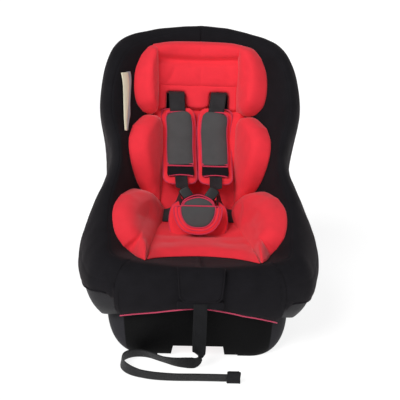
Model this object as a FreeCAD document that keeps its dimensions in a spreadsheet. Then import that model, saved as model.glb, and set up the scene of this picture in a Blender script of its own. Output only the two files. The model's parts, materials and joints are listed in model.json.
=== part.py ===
import FreeCAD, Part
import math
import os
import Sketcher
from FreeCAD import Placement, Rotation, Vector

# Convertible child car seat: a moulded bucket shell on a rocker tray, which reclines in a separate
# base. Millimetres, +Z up, +Y to the back, +X to the viewer's right when facing the seat.

# ---------------------------------------------------------------- driving dimensions
DIMENSIONS = {
    # the whole seat: the cage below is drawn at this size and scales with it
    "overall_width": 460.0,
    "overall_depth": 480.0,
    "overall_height": 535.0,
    # layers on the cage surface
    "cover_thickness": 4.0,
    "shell_gap": 0.6,
    "shell_thickness": 3.6,
    # recline: the tray slides on a cylinder about this axis
    "recline_axis_y": 10.0,
    "recline_axis_z": 450.0,
    "rocker_radius": 395.0,
    "tray_thickness": 3.0,
    "rocker_clearance": 3.0,
    "tray_half_width": 140.0,
    # base
    "base_wall": 3.0,
    "notch_width": 100.0,
    "notch_height": 21.0,
    "foot_step": 3.0,
    # harness webbing
    "webbing_width": 30.0,
    "webbing_thickness": 1.6,
    "slot_spacing": 88.0,
    "slot_width": 37.0,
    "slot_height": 10.0,
    "adjuster_webbing_width": 25.0,
    # buckle
    "buckle_width": 44.0,
    "buckle_length": 60.0,
    "buckle_thickness": 20.0,
    "button_width": 22.0,
    "button_length": 18.0,
    # recline lever
    "lever_width": 84.0,
    "lever_axle_diameter": 6.0,
    # screws
    "screw_head_diameter": 9.0,
    "screw_shank_diameter": 4.0,
    "screw_length": 14.0,
}

doc = FreeCAD.newDocument("CarSeat")
sheet = doc.addObject("Spreadsheet::Sheet", "Sizes")
for row, (alias, value) in enumerate(DIMENSIONS.items(), start=1):
    sheet.set("A%d" % row, alias)
    sheet.set("B%d" % row, "%g" % value)
    sheet.setAlias("B%d" % row, alias)
doc.recompute()


def size(alias):
    return float(sheet.get(alias))


# ---------------------------------------------------------------- the cage of the padded bucket
# Each row is one station, going round the right half from the front centre, over the armrest and
# the head wing, to the top centre. Its ten points are the columns: the centre line, the floor, the foot
# of the wall, the wall, the inner rim, the rim, the outer rim, the flank, the hem and the shell's edge.
CAGE = {
    "front_centre": [(0, -70, 160), (0, -105, 162), (0, -140, 166), (0, -172, 171), (0, -200, 177),
                     (0, -221, 178), (0, -236, 165), (0, -240, 140), (0, -238, 112), (0, -229, 102)],
    "front_corner": [(0, -50, 158), (52, -88, 160), (104, -126, 165), (128, -156, 174), (144, -180, 182),
                     (157, -197, 183), (171, -212, 167), (180, -212, 132), (179, -200, 85), (167, -186, 66)],
    "arm_front": [(0, -25, 156), (58, -58, 159), (118, -92, 167), (142, -118, 186), (158, -140, 198),
                  (174, -154, 202), (201, -160, 182), (219, -156, 140), (211, -142, 95), (186, -122, 50)],
    "arm_middle": [(0, 5, 154), (62, -18, 157), (126, -42, 168), (150, -62, 200), (164, -76, 224),
                   (180, -84, 230), (212, -84, 206), (230, -82, 156), (220, -76, 104), (188, -62, 48)],
    "arm_rear": [(0, 38, 152), (62, 28, 158), (124, 12, 178), (146, -12, 222), (160, -26, 256),
                 (174, -32, 264), (196, -24, 246), (213, -6, 194), (209, 10, 142), (188, 10, 48)],
    "waist": [(0, 72, 170), (58, 70, 184), (112, 58, 210), (134, 32, 260), (148, 14, 300),
              (159, 14, 308), (172, 36, 298), (178, 74, 264), (184, 92, 222), (187, 112, 108)],
    "torso_wing": [(0, 106, 238), (52, 106, 248), (98, 96, 266), (128, 68, 312), (152, 44, 348),
                   (168, 42, 354), (186, 66, 348), (192, 106, 326), (190, 126, 306), (176, 146, 262)],
    "head_wing": [(0, 136, 308), (50, 136, 318), (92, 128, 334), (130, 100, 376), (166, 70, 402),
                  (184, 68, 406), (200, 92, 402), (201, 132, 386), (197, 154, 372), (182, 174, 344)],
    "top_corner": [(0, 166, 388), (46, 168, 398), (86, 166, 416), (122, 152, 454), (148, 134, 486),
                   (163, 132, 497), (174, 154, 502), (174, 190, 486), (168, 206, 464), (152, 214, 436)],
    "top_side": [(0, 178, 424), (22, 181, 440), (44, 184, 458), (64, 184, 484), (80, 184, 510),
                 (90, 190, 523), (93, 212, 527), (91, 238, 504), (88, 243, 480), (80, 241, 456)],
    "top_centre": [(0, 182, 440), (0, 186, 456), (0, 190, 472), (0, 196, 498), (0, 200, 522),
                   (0, 208, 535), (0, 228, 534), (0, 246, 512), (0, 247, 488), (0, 245, 460)],
}
STATIONS = list(CAGE)
STEPS = 2    # samples in each gap of the cage


def catmull_rom(before, start, end, after, share):
    """A point on the smooth curve that passes through every cage point."""
    square = share * share
    cube = square * share
    return (start * 2 + (end - before) * share + (before * 2 - start * 5 + end * 4 - after) * square
            + (start * 3 - before - end * 3 + after) * cube) * 0.5


def beyond(end, neighbour):
    """The point past the end of a row: its mirror image on the middle plane, else straight on."""
    if abs(end.x) < 1e-6 and abs(neighbour.x) > 1e-6:
        return Vector(-neighbour.x, neighbour.y, neighbour.z)
    return end * 2 - neighbour


def refine(points):
    """Samples a row of points, STEPS to a gap."""
    padded = [beyond(points[0], points[1])] + points + [beyond(points[-1], points[-2])]
    fine = []
    for index in range(len(points) - 1):
        fine += [catmull_rom(*padded[index:index + 4], step / STEPS) for step in range(STEPS)]
    return fine + [points[-1]]


def cage_grid():
    """The cage at the driving size, refined both ways: grid[station][column]."""
    scale_x = size("overall_width") / 460.0
    scale_y = size("overall_depth") / 480.0
    scale_z = size("overall_height") / 535.0
    rows = [[Vector(x * scale_x, y * scale_y, z * scale_z) for x, y, z in CAGE[name]] for name in STATIONS]
    columns = [refine(list(column)) for column in zip(*rows)]
    return [refine(list(row)) for row in zip(*columns)]


def grid_normals(grid):
    """The outward normal at each sample, as the mean of the faces round it."""
    normals = [[Vector(0, 0, 0) for point in row] for row in grid]
    for i in range(len(grid) - 1):
        for j in range(len(grid[0]) - 1):
            across = grid[i + 1][j + 1] - grid[i][j]
            along = grid[i][j + 1] - grid[i + 1][j]
            face = across.cross(along)
            for di in (0, 1):
                for dj in (0, 1):
                    normals[i + di][j + dj] += face
    for i, row in enumerate(grid):
        for j, point in enumerate(row):
            if abs(point.x) < 1e-6:
                normals[i][j].x = 0
            normals[i][j].normalize()
    return normals


SKIN = cage_grid()
NORMALS = grid_normals(SKIN)
if NORMALS[3 * STEPS][0].z < 0:
    NORMALS = [[normal * -1 for normal in row] for row in NORMALS]


def clamped(count, degree):
    """Knots and their multiplicities of a clamped uniform spline with this many poles."""
    spans = count - degree
    return list(range(spans + 1)), [degree + 1] + [1] * (spans - 1) + [degree + 1]


def spline_face(poles):
    """A smooth face with these poles, cubic where a row has at least four."""
    degrees = [min(3, len(poles) - 1), min(3, len(poles[0]) - 1)]
    u_knots, u_mults = clamped(len(poles), degrees[0])
    v_knots, v_mults = clamped(len(poles[0]), degrees[1])
    surface = Part.BSplineSurface()
    surface.buildFromPolesMultsKnots(poles, u_mults, v_mults, u_knots, v_knots, False, False, *degrees)
    return surface.toShape()


def slab(low, high):
    """The closed solid between two grids of poles."""
    faces = [spline_face(low), spline_face(high)]
    for end in (0, -1):
        faces.append(spline_face([list(low[end]), list(high[end])]))
        faces.append(spline_face([[row[end] for row in low], [row[end] for row in high]]))
    shell = Part.makeShell(faces)
    shell.sewShape()
    solid = Part.makeSolid(shell)
    if solid.Volume < 0:
        solid.reverse()
    return solid


def skin_patch(rows, columns, low, high):
    """A layer on part of the cage surface. rows and columns are (first, last) in cage steps;
    low and high are offsets from the surface, numbers or functions of the two shares (0 to 1)."""
    i_first, i_last = (round(value * STEPS) for value in rows)
    j_first, j_last = (round(value * STEPS) for value in columns)
    grids = []
    for offset in (low, high):
        grid = []
        for i in range(i_first, i_last + 1):
            row = []
            for j in range(j_first, j_last + 1):
                along = (i - i_first) / (i_last - i_first)
                across = (j - j_first) / (j_last - j_first)
                depth = offset(along, across) if callable(offset) else offset
                row.append(SKIN[i][j] + NORMALS[i][j] * depth)
            grid.append(row)
        grids.append(grid)
    return slab(*grids)


def mirrored(shape):
    return shape.mirror(Vector(0, 0, 0), Vector(1, 0, 0))


def both_halves(half):
    whole = half.fuse(mirrored(half))
    if len(whole.Solids) == 1:
        whole = whole.Solids[0]
    return whole


def unit_vector(x, y, z):
    vector = Vector(x, y, z)
    vector.normalize()
    return vector


def ribbon(points, width, thickness, sides=Vector(1, 0, 0)):
    """Flat webbing whose middle follows points; sides is the direction of its width."""
    if isinstance(sides, Vector):
        sides = [sides] * len(points)
    low = []
    high = []
    for index, point in enumerate(points):
        ahead = points[min(index + 1, len(points) - 1)] - points[max(index - 1, 0)]
        ahead.normalize()
        side = sides[index] - ahead * sides[index].dot(ahead)
        side.normalize()
        face = ahead.cross(side)
        low.append([point + side * (sign * width / 2) - face * (thickness / 2) for sign in (-1, 1)])
        high.append([point + side * (sign * width / 2) + face * (thickness / 2) for sign in (-1, 1)])
    return slab(low, high)


def oriented_box(centre, along_x, along_z, lengths):
    """A box about a centre, with its own X and Z directions."""
    box = Part.makeBox(*lengths, Vector(*lengths) * -0.5)
    rotation = Rotation(along_x, along_z.cross(along_x), along_z, "XZY")
    box.Placement = Placement(centre, rotation)
    return box


def rounded_outline(half_width, front, rear, front_radius, rear_radius, height):
    """A level outline with round corners, front and rear given as Y."""
    corners = [(half_width, front, front_radius, -90), (half_width, rear, rear_radius, 0),
               (-half_width, rear, rear_radius, 90), (-half_width, front, front_radius, 180)]
    arcs = []
    for x, y, radius, start in corners:
        centre = Vector(x - math.copysign(radius, x), y + (radius if y == front else -radius), height)
        ends = []
        for angle in (start, start + 45, start + 90):
            turn = math.radians(angle)
            ends.append(centre + Vector(math.cos(turn), math.sin(turn), 0) * radius)
        arcs.append(Part.Arc(*ends))
    edges = []
    for index, arc in enumerate(arcs):
        following = arcs[(index + 1) % 4]
        edges.append(arc.toShape())
        edges.append(Part.makeLine(arc.EndPoint, following.StartPoint))
    return Part.Wire(edges)


def add_shape(name, shape):
    """A sub-part whose shape is worked out here."""
    if shape.ShapeType == "Compound" and len(shape.Solids) == 1:
        shape = shape.Solids[0]
    feature = doc.addObject("Part::Feature", name)
    feature.Label = name
    place = shape.Placement
    feature.Shape = shape
    feature.Placement = place
    return feature


def add_pair(name, right):
    """The same piece on both sides of the seat."""
    add_shape(name + "_right", right)
    add_shape(name + "_left", mirrored(right))


# ---------------------------------------------------------------- parametric bodies
def new_body(name):
    body = doc.addObject("PartDesign::Body", name)
    body.Label = name
    return body


def new_sketch(body, role, name):
    sketch = body.newObject("Sketcher::SketchObject", name)
    plane = [item for item in body.Origin.OriginFeatures if item.Role == role][0]
    sketch.AttachmentSupport = [(plane, "")]
    sketch.MapMode = "FlatFace"
    return sketch


def sketch_rectangle(sketch, width, height, centre=(0.0, 0.0)):
    """A rectangle about a centre, with width and height bound to expressions."""
    x, y = centre
    corners = [(-10, -10), (10, -10), (10, 10), (-10, 10)]
    first = sketch.GeometryCount
    for index in range(4):
        start = corners[index]
        end = corners[(index + 1) % 4]
        sketch.addGeometry(Part.LineSegment(Vector(start[0] + x, start[1] + y, 0),
                                            Vector(end[0] + x, end[1] + y, 0)), False)
    for index in range(4):
        sketch.addConstraint(Sketcher.Constraint("Coincident", first + index, 2, first + (index + 1) % 4, 1))
    for index in (0, 2):
        sketch.addConstraint(Sketcher.Constraint("Horizontal", first + index))
        sketch.addConstraint(Sketcher.Constraint("Vertical", first + index + 1))
    for kind, line, expression in (("DistanceX", 0, width), ("DistanceY", 1, height)):
        number = sketch.addConstraint(Sketcher.Constraint(kind, first + line, 1, first + line, 2, 20.0))
        sketch.setExpression("Constraints[%d]" % number, expression)
    for kind, expression in (("DistanceX", "%g - (%s) / 2" % (x, width)),
                             ("DistanceY", "%g - (%s) / 2" % (y, height))):
        number = sketch.addConstraint(Sketcher.Constraint(kind, -1, 1, first, 1, -10.0))
        sketch.setExpression("Constraints[%d]" % number, expression)


def sketch_circle(sketch, diameter, centre=(0.0, 0.0)):
    number = sketch.addGeometry(Part.Circle(Vector(*centre, 0), Vector(0, 0, 1), 1.0), False)
    bound = sketch.addConstraint(Sketcher.Constraint("Diameter", number, 2.0))
    sketch.setExpression("Constraints[%d]" % bound, diameter)
    for kind, value in (("DistanceX", centre[0]), ("DistanceY", centre[1])):
        sketch.addConstraint(Sketcher.Constraint(kind, -1, 1, number, 3, value))


def add_pad(body, sketch, name, length, midplane=False):
    pad = body.newObject("PartDesign::Pad", name)
    pad.Profile = sketch
    pad.setExpression("Length", length)
    if midplane:
        pad.Midplane = True
    sketch.Visibility = False
    return pad


def add_pocket(body, sketch, name):
    pocket = body.newObject("PartDesign::Pocket", name)
    pocket.Profile = sketch
    pocket.Type = "ThroughAll"
    pocket.Midplane = True
    return pocket


def round_edges(body, feature, name, radius, chosen):
    """Rounds the edges of a feature for which chosen(edge) is true."""
    doc.recompute()
    names = []
    for index, edge in enumerate(feature.Shape.Edges, start=1):
        if chosen(edge):
            names.append("Edge%d" % index)
    fillet = body.newObject("PartDesign::Fillet", name)
    fillet.Base = (feature, names)
    fillet.Radius = radius
    return fillet


def upright(edge):
    if len(edge.Vertexes) != 2:
        return False
    run = edge.Vertexes[1].Point - edge.Vertexes[0].Point
    return abs(run.x) < 1e-6 and abs(run.y) < 1e-6


def plate_body(name, width, length, thickness, corner, holes=(), placement=Placement()):
    """A flat plate with round corners: width along X, length along Y, thickness up from Z 0.
    holes lists (width, length, centre) slots cut right through."""
    body = new_body(name)
    outline = new_sketch(body, "XY_Plane", name + "_outline")
    sketch_rectangle(outline, width, length)
    last = add_pad(body, outline, name + "_plate", thickness)
    last = round_edges(body, last, name + "_corners", corner, upright)
    for index, (hole_width, hole_length, centre) in enumerate(holes):
        cut = new_sketch(body, "XY_Plane", "%s_slot%d" % (name, index))
        sketch_rectangle(cut, hole_width, hole_length, centre)
        last = add_pocket(body, cut, "%s_opening%d" % (name, index))
    body.Placement = placement
    return body


def rod(name, diameter, length, centre):
    """A round bar along X."""
    bar = doc.addObject("Part::Cylinder", name)
    bar.Label = name
    bar.setExpression("Radius", "(%s) / 2" % diameter)
    bar.setExpression("Height", length)
    doc.recompute()
    half = bar.Height.Value / 2
    bar.Placement = Placement(centre - Vector(half, 0, 0), Rotation(Vector(0, 1, 0), 90))
    return bar


def facing(origin, along_x, along_y):
    """A placement whose own X and Y lie along the given directions."""
    return Placement(origin, Rotation(along_x, along_y, along_x.cross(along_y), "XYZ"))


# ---------------------------------------------------------------- reference places on the seat
WEB_WIDTH = size("webbing_width")
WEB_THICK = size("webbing_thickness")
AXIS = Vector(0, size("recline_axis_y"), size("recline_axis_z"))
BACK_PROFILE = [row[0] for row in SKIN[5 * STEPS:]] + SKIN[10 * STEPS][1:4 * STEPS]
BACK_NORMAL = unit_vector(0, -0.924, 0.381)     # out of the backrest, towards the child
BUCKLE_FOOT = Vector(0, -20, 174)
BUCKLE_UP = unit_vector(0, 0.514, 0.857)
BUCKLE_OUT = unit_vector(0, -0.857, 0.514)
SLOT_HEIGHT_ON_BACK = 404.0
CROTCH_SLOT = Vector(0, -22, 153)
CROTCH_STRAP_WIDTH = 25.0
HIP_SLOT = SKIN[9 * STEPS // 2][3 * STEPS // 2]     # in the corner between the pan and the backrest
HIP_NORMAL = NORMALS[9 * STEPS // 2][3 * STEPS // 2]


def back_point(x, height, offset=0.0):
    """A point on the centre profile of the backrest at this height, moved out by offset."""
    for low, high in zip(BACK_PROFILE, BACK_PROFILE[1:]):
        if low.z <= height <= high.z:
            share = (height - low.z) / (high.z - low.z)
            point = low + (high - low) * share
            return Vector(x, point.y, height) + BACK_NORMAL * offset
    raise ValueError("no backrest at height %g" % height)


def on_buckle(x, up, out):
    return BUCKLE_FOOT + Vector(x, 0, 0) + BUCKLE_UP * up + BUCKLE_OUT * out


def rocker(radius, half_width=300.0):
    """A solid cylinder about the recline axis."""
    return Part.makeCylinder(radius, 2 * half_width, AXIS - Vector(half_width, 0, 0), Vector(1, 0, 0))


def slot_cutters():
    """The openings for the webbing: two shoulder slots, two hip slots and the crotch slot."""
    cutters = []
    for side in (-1, 1):
        centre = back_point(side * size("slot_spacing") / 2, SLOT_HEIGHT_ON_BACK)
        cutters.append(oriented_box(centre, Vector(1, 0, 0), BACK_NORMAL,
                                    (size("slot_width"), size("slot_height"), 90.0)))
        centre = Vector(side * HIP_SLOT.x, HIP_SLOT.y, HIP_SLOT.z)
        normal = Vector(side * HIP_NORMAL.x, HIP_NORMAL.y, HIP_NORMAL.z)
        upward = Vector(0, 0.4, 0.9)
        upward = upward - normal * upward.dot(normal)
        upward.normalize()
        cutters.append(oriented_box(centre, upward, normal, (size("slot_width"), 9.0, 70.0)))
    slot = Vector(CROTCH_STRAP_WIDTH + 8, 10, 60)
    cutters.append(Part.makeBox(*slot, CROTCH_SLOT - slot / 2))
    return cutters


def cut_all(shape, cutters):
    for cutter in cutters:
        shape = shape.cut(cutter)
    return shape


# ---------------------------------------------------------------- base
BASE_LEVELS = [    # height, half width, front, rear, front corner, rear corner
    (0, 138, -200, 150, 44, 44),
    (10, 152, -205, 162, 56, 52),
    (30, 165, -207, 174, 74, 70),
    (60, 172, -208, 183, 104, 92),
    (95, 174, -208, 188, 120, 112),
    (130, 174, -208, 190, 122, 116),
]


LEVER_PIVOT = Vector(0, -150, 52)


def base_loft(inset, lowest):
    wires = []
    for height, half_width, front, rear, front_corner, rear_corner in BASE_LEVELS:
        wires.append(rounded_outline(half_width - inset, front + inset, rear - inset,
                                     front_corner - inset, rear_corner - inset,
                                     lowest if height == 0 else height))
    return Part.makeLoft(wires, True, False)


def make_base_shell():
    """An open-bottomed moulding with a hollow, cylindrical top that carries the tray."""
    wall = size("base_wall")
    top_radius = size("rocker_radius") + size("rocker_clearance")
    outer = base_loft(0, 0).cut(rocker(top_radius))
    inner = base_loft(wall, -0.5).cut(rocker(top_radius + wall))
    shell = outer.cut(inner)
    half_notch = size("notch_width") / 2
    height = size("notch_height")
    corners = [(-half_notch, -1), (half_notch, -1), (half_notch - 4, height), (4 - half_notch, height)]
    front = -215.0
    notch = Part.Face(Part.makePolygon([Vector(x, front, z) for x, z in corners + corners[:1]]))
    shell = shell.cut(notch.extrude(Vector(0, 30, 0)))
    step = size("foot_step")
    relief = Part.makeBox(2 * half_notch + 48, 30, 2 * step, Vector(-half_notch - 24, front, -step))
    shell = shell.cut(relief)
    pawl_window = Part.makeBox(34, 56, 60, Vector(-17, -170, 60))
    shell = shell.cut(pawl_window)
    strap_recess = Part.makeBox(54, 40, 40, Vector(-27, -225, 104))
    shell = shell.cut(strap_recess)
    bore = size("lever_axle_diameter") / 2 + 0.05
    for side in (-1, 1):
        bracket = Part.makeBox(3, 30, 70, Vector(side * 52 - 1.5, -165, 40))
        bracket = bracket.cut(Part.makeCylinder(bore, 20, LEVER_PIVOT + Vector(side * 52 - 10, 0, 0),
                                                Vector(1, 0, 0)))
        bracket = bracket.cut(rocker(top_radius + wall / 2))
        shell = shell.fuse(bracket)
    add_shape("base_shell", shell)


def make_recline_lever():
    """A paddle in the hand recess, with an arm and a pawl on the far side of its axle."""
    body = new_body("recline_lever")
    side = new_sketch(body, "YZ_Plane", "lever_side")
    profile = [(-197, 25), (-190, 24), (-158, 40), (-146, 44), (-141, 52), (-146, 58),
               (-154, 58), (-160, 52), (-197, 34)]
    add_polygon(side, profile)
    add_pad(body, side, "lever_paddle", "Sizes.lever_width", True)
    pawl = new_sketch(body, "YZ_Plane", "pawl_side")
    add_polygon(pawl, [(-152, 46), (-142, 46), (-139, 82.6), (-144, 84.2), (-150, 58)])
    add_pad(body, pawl, "pawl", "22", True)
    bore = new_sketch(body, "YZ_Plane", "lever_bore")
    sketch_circle(bore, "Sizes.lever_axle_diameter + 0.1", (LEVER_PIVOT.y, LEVER_PIVOT.z))
    add_pocket(body, bore, "lever_hole")


def add_polygon(sketch, points):
    count = len(points)
    for index in range(count):
        start = points[index]
        end = points[(index + 1) % count]
        sketch.addGeometry(Part.LineSegment(Vector(*start, 0), Vector(*end, 0)), False)
    for index in range(count):
        sketch.addConstraint(Sketcher.Constraint("Coincident", index, 2, (index + 1) % count, 1))
        sketch.addConstraint(Sketcher.Constraint("DistanceX", -1, 1, index, 1, points[index][0]))
        sketch.addConstraint(Sketcher.Constraint("DistanceY", -1, 1, index, 1, points[index][1]))


def coil(radius, wire_radius, pitch, turns, origin, along):
    """A helical spring along a direction."""
    path = Part.makeHelix(pitch, pitch * turns, radius)
    section = Part.Wire(Part.makeCircle(wire_radius, Vector(radius, 0, 0), Vector(0, 1, 0)))
    spring = Part.Wire(path.Edges).makePipeShell([section], True, True)
    spring.Placement = Placement(origin, Rotation(Vector(0, 0, 1), along))
    return spring


def make_base_small_parts():
    rod("lever_axle", "Sizes.lever_axle_diameter", "112", LEVER_PIVOT)
    add_shape("lever_spring", coil(5.2, 0.7, 1.8, 2.5, LEVER_PIVOT + Vector(43.9, 0, 0), Vector(1, 0, 0)))


# ---------------------------------------------------------------- seat structure
def make_tray():
    """The curved tray under the bucket, with ribs; it slides on the top of the base."""
    radius = size("rocker_radius")
    half_width = size("tray_half_width")
    ring = rocker(radius, half_width).cut(rocker(radius - size("tray_thickness"), half_width + 1))
    window = Part.makeBox(4 * half_width, 335, 200, Vector(-2 * half_width, -185, 0))
    tray = ring.common(window)
    for side in (-1, 1):
        rib = Part.makeBox(3, 250, 90, Vector(side * 118 - 1.5, -130, 50))
        rib = rib.common(rocker(radius - size("tray_thickness") / 2, half_width))
        rib = rib.cut(Part.makeBox(400, 400, 100, Vector(-200, -200, 134)))
        tray = tray.fuse(rib)
    for y in (-100, 60):
        rib = Part.makeBox(236, 3, 70, Vector(-118, y, 50))
        rib = rib.cut(Part.makeBox(54, 10, 90, Vector(-27, y - 3, 40)))
        rib = rib.common(rocker(radius - size("tray_thickness") / 2, half_width))
        rib = rib.cut(Part.makeBox(400, 400, 100, Vector(-200, -200, 112)))
        tray = tray.fuse(rib)
    for x, y in SCREW_PLACES:
        top = pan_underside(x, y)
        post = Part.makeCylinder(7, top - 0.4 - 50, Vector(x, y, 50))
        post = post.common(rocker(radius - size("tray_thickness") / 2, half_width))
        tray = tray.fuse(post)
        tray = tray.cut(Part.makeCylinder(5, top - 9 - 40, Vector(x, y, 40)))
        tray = tray.cut(Part.makeCylinder(size("screw_shank_diameter") / 2 + 0.2, 160, Vector(x, y, 40)))
    tray = tray.cut(Part.makeBox(30, 230, 120, Vector(-15, -172, 0)))
    add_shape("seat_tray", tray)


def make_rack():
    """A toothed strip let into the tray, which the pawl of the lever locks."""
    radius = size("rocker_radius")
    strip = rocker(radius - 0.5, 13).cut(rocker(radius - 9, 14))
    for index in range(9):
        turn = math.radians(-26.0 + 4.0 * index)
        direction = Vector(0, math.sin(turn), -math.cos(turn))
        tooth = oriented_box(AXIS + direction * (radius - 0.5), Vector(1, 0, 0), direction, (30, 7, 9))
        strip = strip.cut(tooth)
    flange = rocker(radius - size("tray_thickness") - 0.3, 24).cut(rocker(radius - 7, 25))
    strip = strip.fuse(flange).common(Part.makeBox(60, 226, 200, Vector(-30, -170, 0)))
    add_shape("recline_rack", strip)


SCREW_PLACES = [(-88, -70), (88, -70), (-88, 30), (88, 30)]


def pan_underside(x, y):
    """The height of the bucket's underside above a point of the tray."""
    deepest = -size("cover_thickness") - size("shell_gap") - size("shell_thickness")
    best = None
    for row, normals in zip(SKIN, NORMALS):
        for point, normal in zip(row, normals):
            low = point + normal * deepest
            apart = math.hypot(low.x - abs(x), low.y - y)
            if normal.z > 0.5 and (best is None or apart < best[0]):
                best = (apart, low.z - (normal.x * (abs(x) - low.x) + normal.y * (y - low.y)) / normal.z)
    return best[1]


def make_shell(cutters):
    cover = size("cover_thickness")
    outer = -cover - size("shell_gap")
    inner = outer - size("shell_thickness")
    shell = both_halves(skin_patch((0, 10), (0, 9), inner, outer))
    holes = []
    for x, y in SCREW_PLACES:
        start = Vector(x, y, pan_underside(x, y) - 4)
        holes.append(Part.makeCylinder(size("screw_shank_diameter") / 2 + 0.2, 14, start))
    shell = cut_all(shell, cutters + [adjuster_opening()] + holes)
    add_shape("seat_shell", shell)


def make_cover(cutters):
    cover = both_halves(skin_patch((0, 10), (0, 8.5), -size("cover_thickness"), 0.0))
    cover = cut_all(cover, cutters + [adjuster_opening()])
    add_shape("seat_cover", cover)


def adjuster_opening():
    return Part.makeBox(44, 30, 30, Vector(-22, -250, 111))


def make_screws():
    """Four screws, driven from below through the tray's posts into the bucket."""
    solids = []
    for x, y in SCREW_PLACES:
        top = pan_underside(x, y)
        head = Part.makeCylinder(size("screw_head_diameter") / 2, 3, Vector(x, y, top - 12))
        shank = Part.makeCylinder(size("screw_shank_diameter") / 2, 10.5, Vector(x, y, top - 9.2))
        solids.append(head.fuse(shank))
    add_shape("shell_screws", Part.makeCompound(solids))


# ---------------------------------------------------------------- padding
def crowned(thickness, edge=0.55):
    """An offset that is thickness in the middle of a pad and thinner at its borders."""
    def offset(along, across):
        crown = math.sin(math.pi * along) ** 0.5 * math.sin(math.pi * across) ** 0.5
        return thickness * (edge + (1 - edge) * crown)
    return offset


PAD_GAP = 2.8


def make_pads(cutters):
    pan = skin_patch((0, 4.5), (0, 2), PAD_GAP, 17)
    front = skin_patch((0, 1.5), (2, 4), PAD_GAP, 17)
    seat = pan.fuse(front)
    add_shape("seat_pad", cut_all(both_halves(seat), cutters))
    add_shape("back_pad", cut_all(both_halves(skin_patch((5.5, 7.5), (0, 1.5), PAD_GAP, 15)), cutters))
    add_shape("head_pad", cut_all(both_halves(skin_patch((8, 10), (0, 3.5), PAD_GAP, 18)), cutters))
    add_pair("head_wing", skin_patch((7, 8), (2, 4), PAD_GAP, crowned(30)))
    add_pair("torso_bolster", skin_patch((5, 6.5), (2, 4), PAD_GAP, crowned(26)))
    add_pair("hip_bolster", skin_patch((2, 4.5), (2.5, 4.0), PAD_GAP, crowned(28)))


# ---------------------------------------------------------------- harness
def shoulder_path():
    """The middle of the right shoulder strap, from the splitter plate to the tongue."""
    half = size("slot_spacing") / 2
    points = [back_point(17, 330, -24), back_point(20, 342, -23), back_point(34, 370, -24)]
    points += [back_point(42, 396, -22), back_point(half, SLOT_HEIGHT_ON_BACK, -8)]
    points += [back_point(half, SLOT_HEIGHT_ON_BACK, 10), back_point(half - 1, 402, 26)]
    points += [back_point(half - 2, 386, 31), back_point(40, 360, 30), back_point(37, 330, 30)]
    points += [back_point(36, 300, 31), back_point(35, 276, 38), Vector(34.5, 62, 270)]
    points += [Vector(34, 38, 259), Vector(33, 14.5, 252)]
    return points


def make_shoulder_harness():
    path = shoulder_path()
    strap = ribbon(path, WEB_WIDTH, WEB_THICK)
    add_pair("shoulder_strap", strap)
    chest = path[8:12]
    sleeve = ribbon(chest, 52, 13)
    bore = ribbon(path[6:], WEB_WIDTH + 1.6, WEB_THICK + 1.4)
    add_pair("chest_pad", sleeve.cut(bore))


def hip_path():
    """The middle of the right lap strap, from its anchor behind the bucket towards the buckle."""
    start = [HIP_SLOT + HIP_NORMAL * offset for offset in (-17, -6, 20)]
    return start + [Vector(68, 31, 216), Vector(46, 17, 228)]


def make_lap_harness():
    sides = Vector(0, 0.45, 0.89)
    add_pair("hip_strap", ribbon(hip_path(), WEB_WIDTH, WEB_THICK, sides))
    for side, name in ((1, "right"), (-1, "left")):
        hip = hip_path()[0]
        towards = hip_path()[1] - hip
        normal = Vector(side * towards.x, towards.y, towards.z)
        normal.normalize()
        upward = Vector(0, 0.45, 0.89)
        upward = upward - normal * upward.dot(normal)
        upward.normalize()
        centre = Vector(side * hip.x, hip.y, hip.z) - normal * 5
        plate_body("hip_anchor_" + name, "Sizes.webbing_width + 16", "16", "2.5", 3,
                   placement=facing(centre, upward, normal.cross(upward)))


def make_tongues():
    for side, name in ((1, "right"), (-1, "left")):
        tip = on_buckle(side * 10, 55, 10.9)
        head = on_buckle(side * 31, 80, 10.9)
        along = head - tip
        along.normalize()
        across = along.cross(BUCKLE_OUT)
        across.normalize()
        centre = tip + (head - tip) * 0.5
        plate_body("tongue_" + name, "14", "%g" % ((head - tip).Length - 4), "1.6", 3,
                   placement=facing(centre, across, along))


def make_buckle():
    up = BUCKLE_UP
    right = Vector(1, 0, 0)
    plate_body("buckle_base", "Sizes.buckle_width", "Sizes.buckle_length", "Sizes.buckle_thickness / 2", 8,
               holes=[("24", "2.6", (0.0, -24.0))],
               placement=facing(on_buckle(0, 32, 0.5), right, up))
    lid = "Sizes.buckle_thickness / 2 - 3"
    plate_body("buckle_cover", "Sizes.buckle_width", "Sizes.buckle_length", lid, 8,
               holes=[("Sizes.button_width + 1", "Sizes.button_length + 1", (0.0, -8.0))],
               placement=facing(on_buckle(0, 32, 12.8), right, up))
    plate_body("buckle_button", "Sizes.button_width", "Sizes.button_length", "7", 3,
               placement=facing(on_buckle(0, 24, 14.5), right, up))
    plate_body("buckle_latch", "20", "12", "1.6", 2, placement=facing(on_buckle(0, 44, 10.8), right, up))
    add_shape("buckle_spring", coil(3.4, 0.5, 1.1, 2.0, on_buckle(0, 24, 11.3), BUCKLE_OUT))


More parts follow.
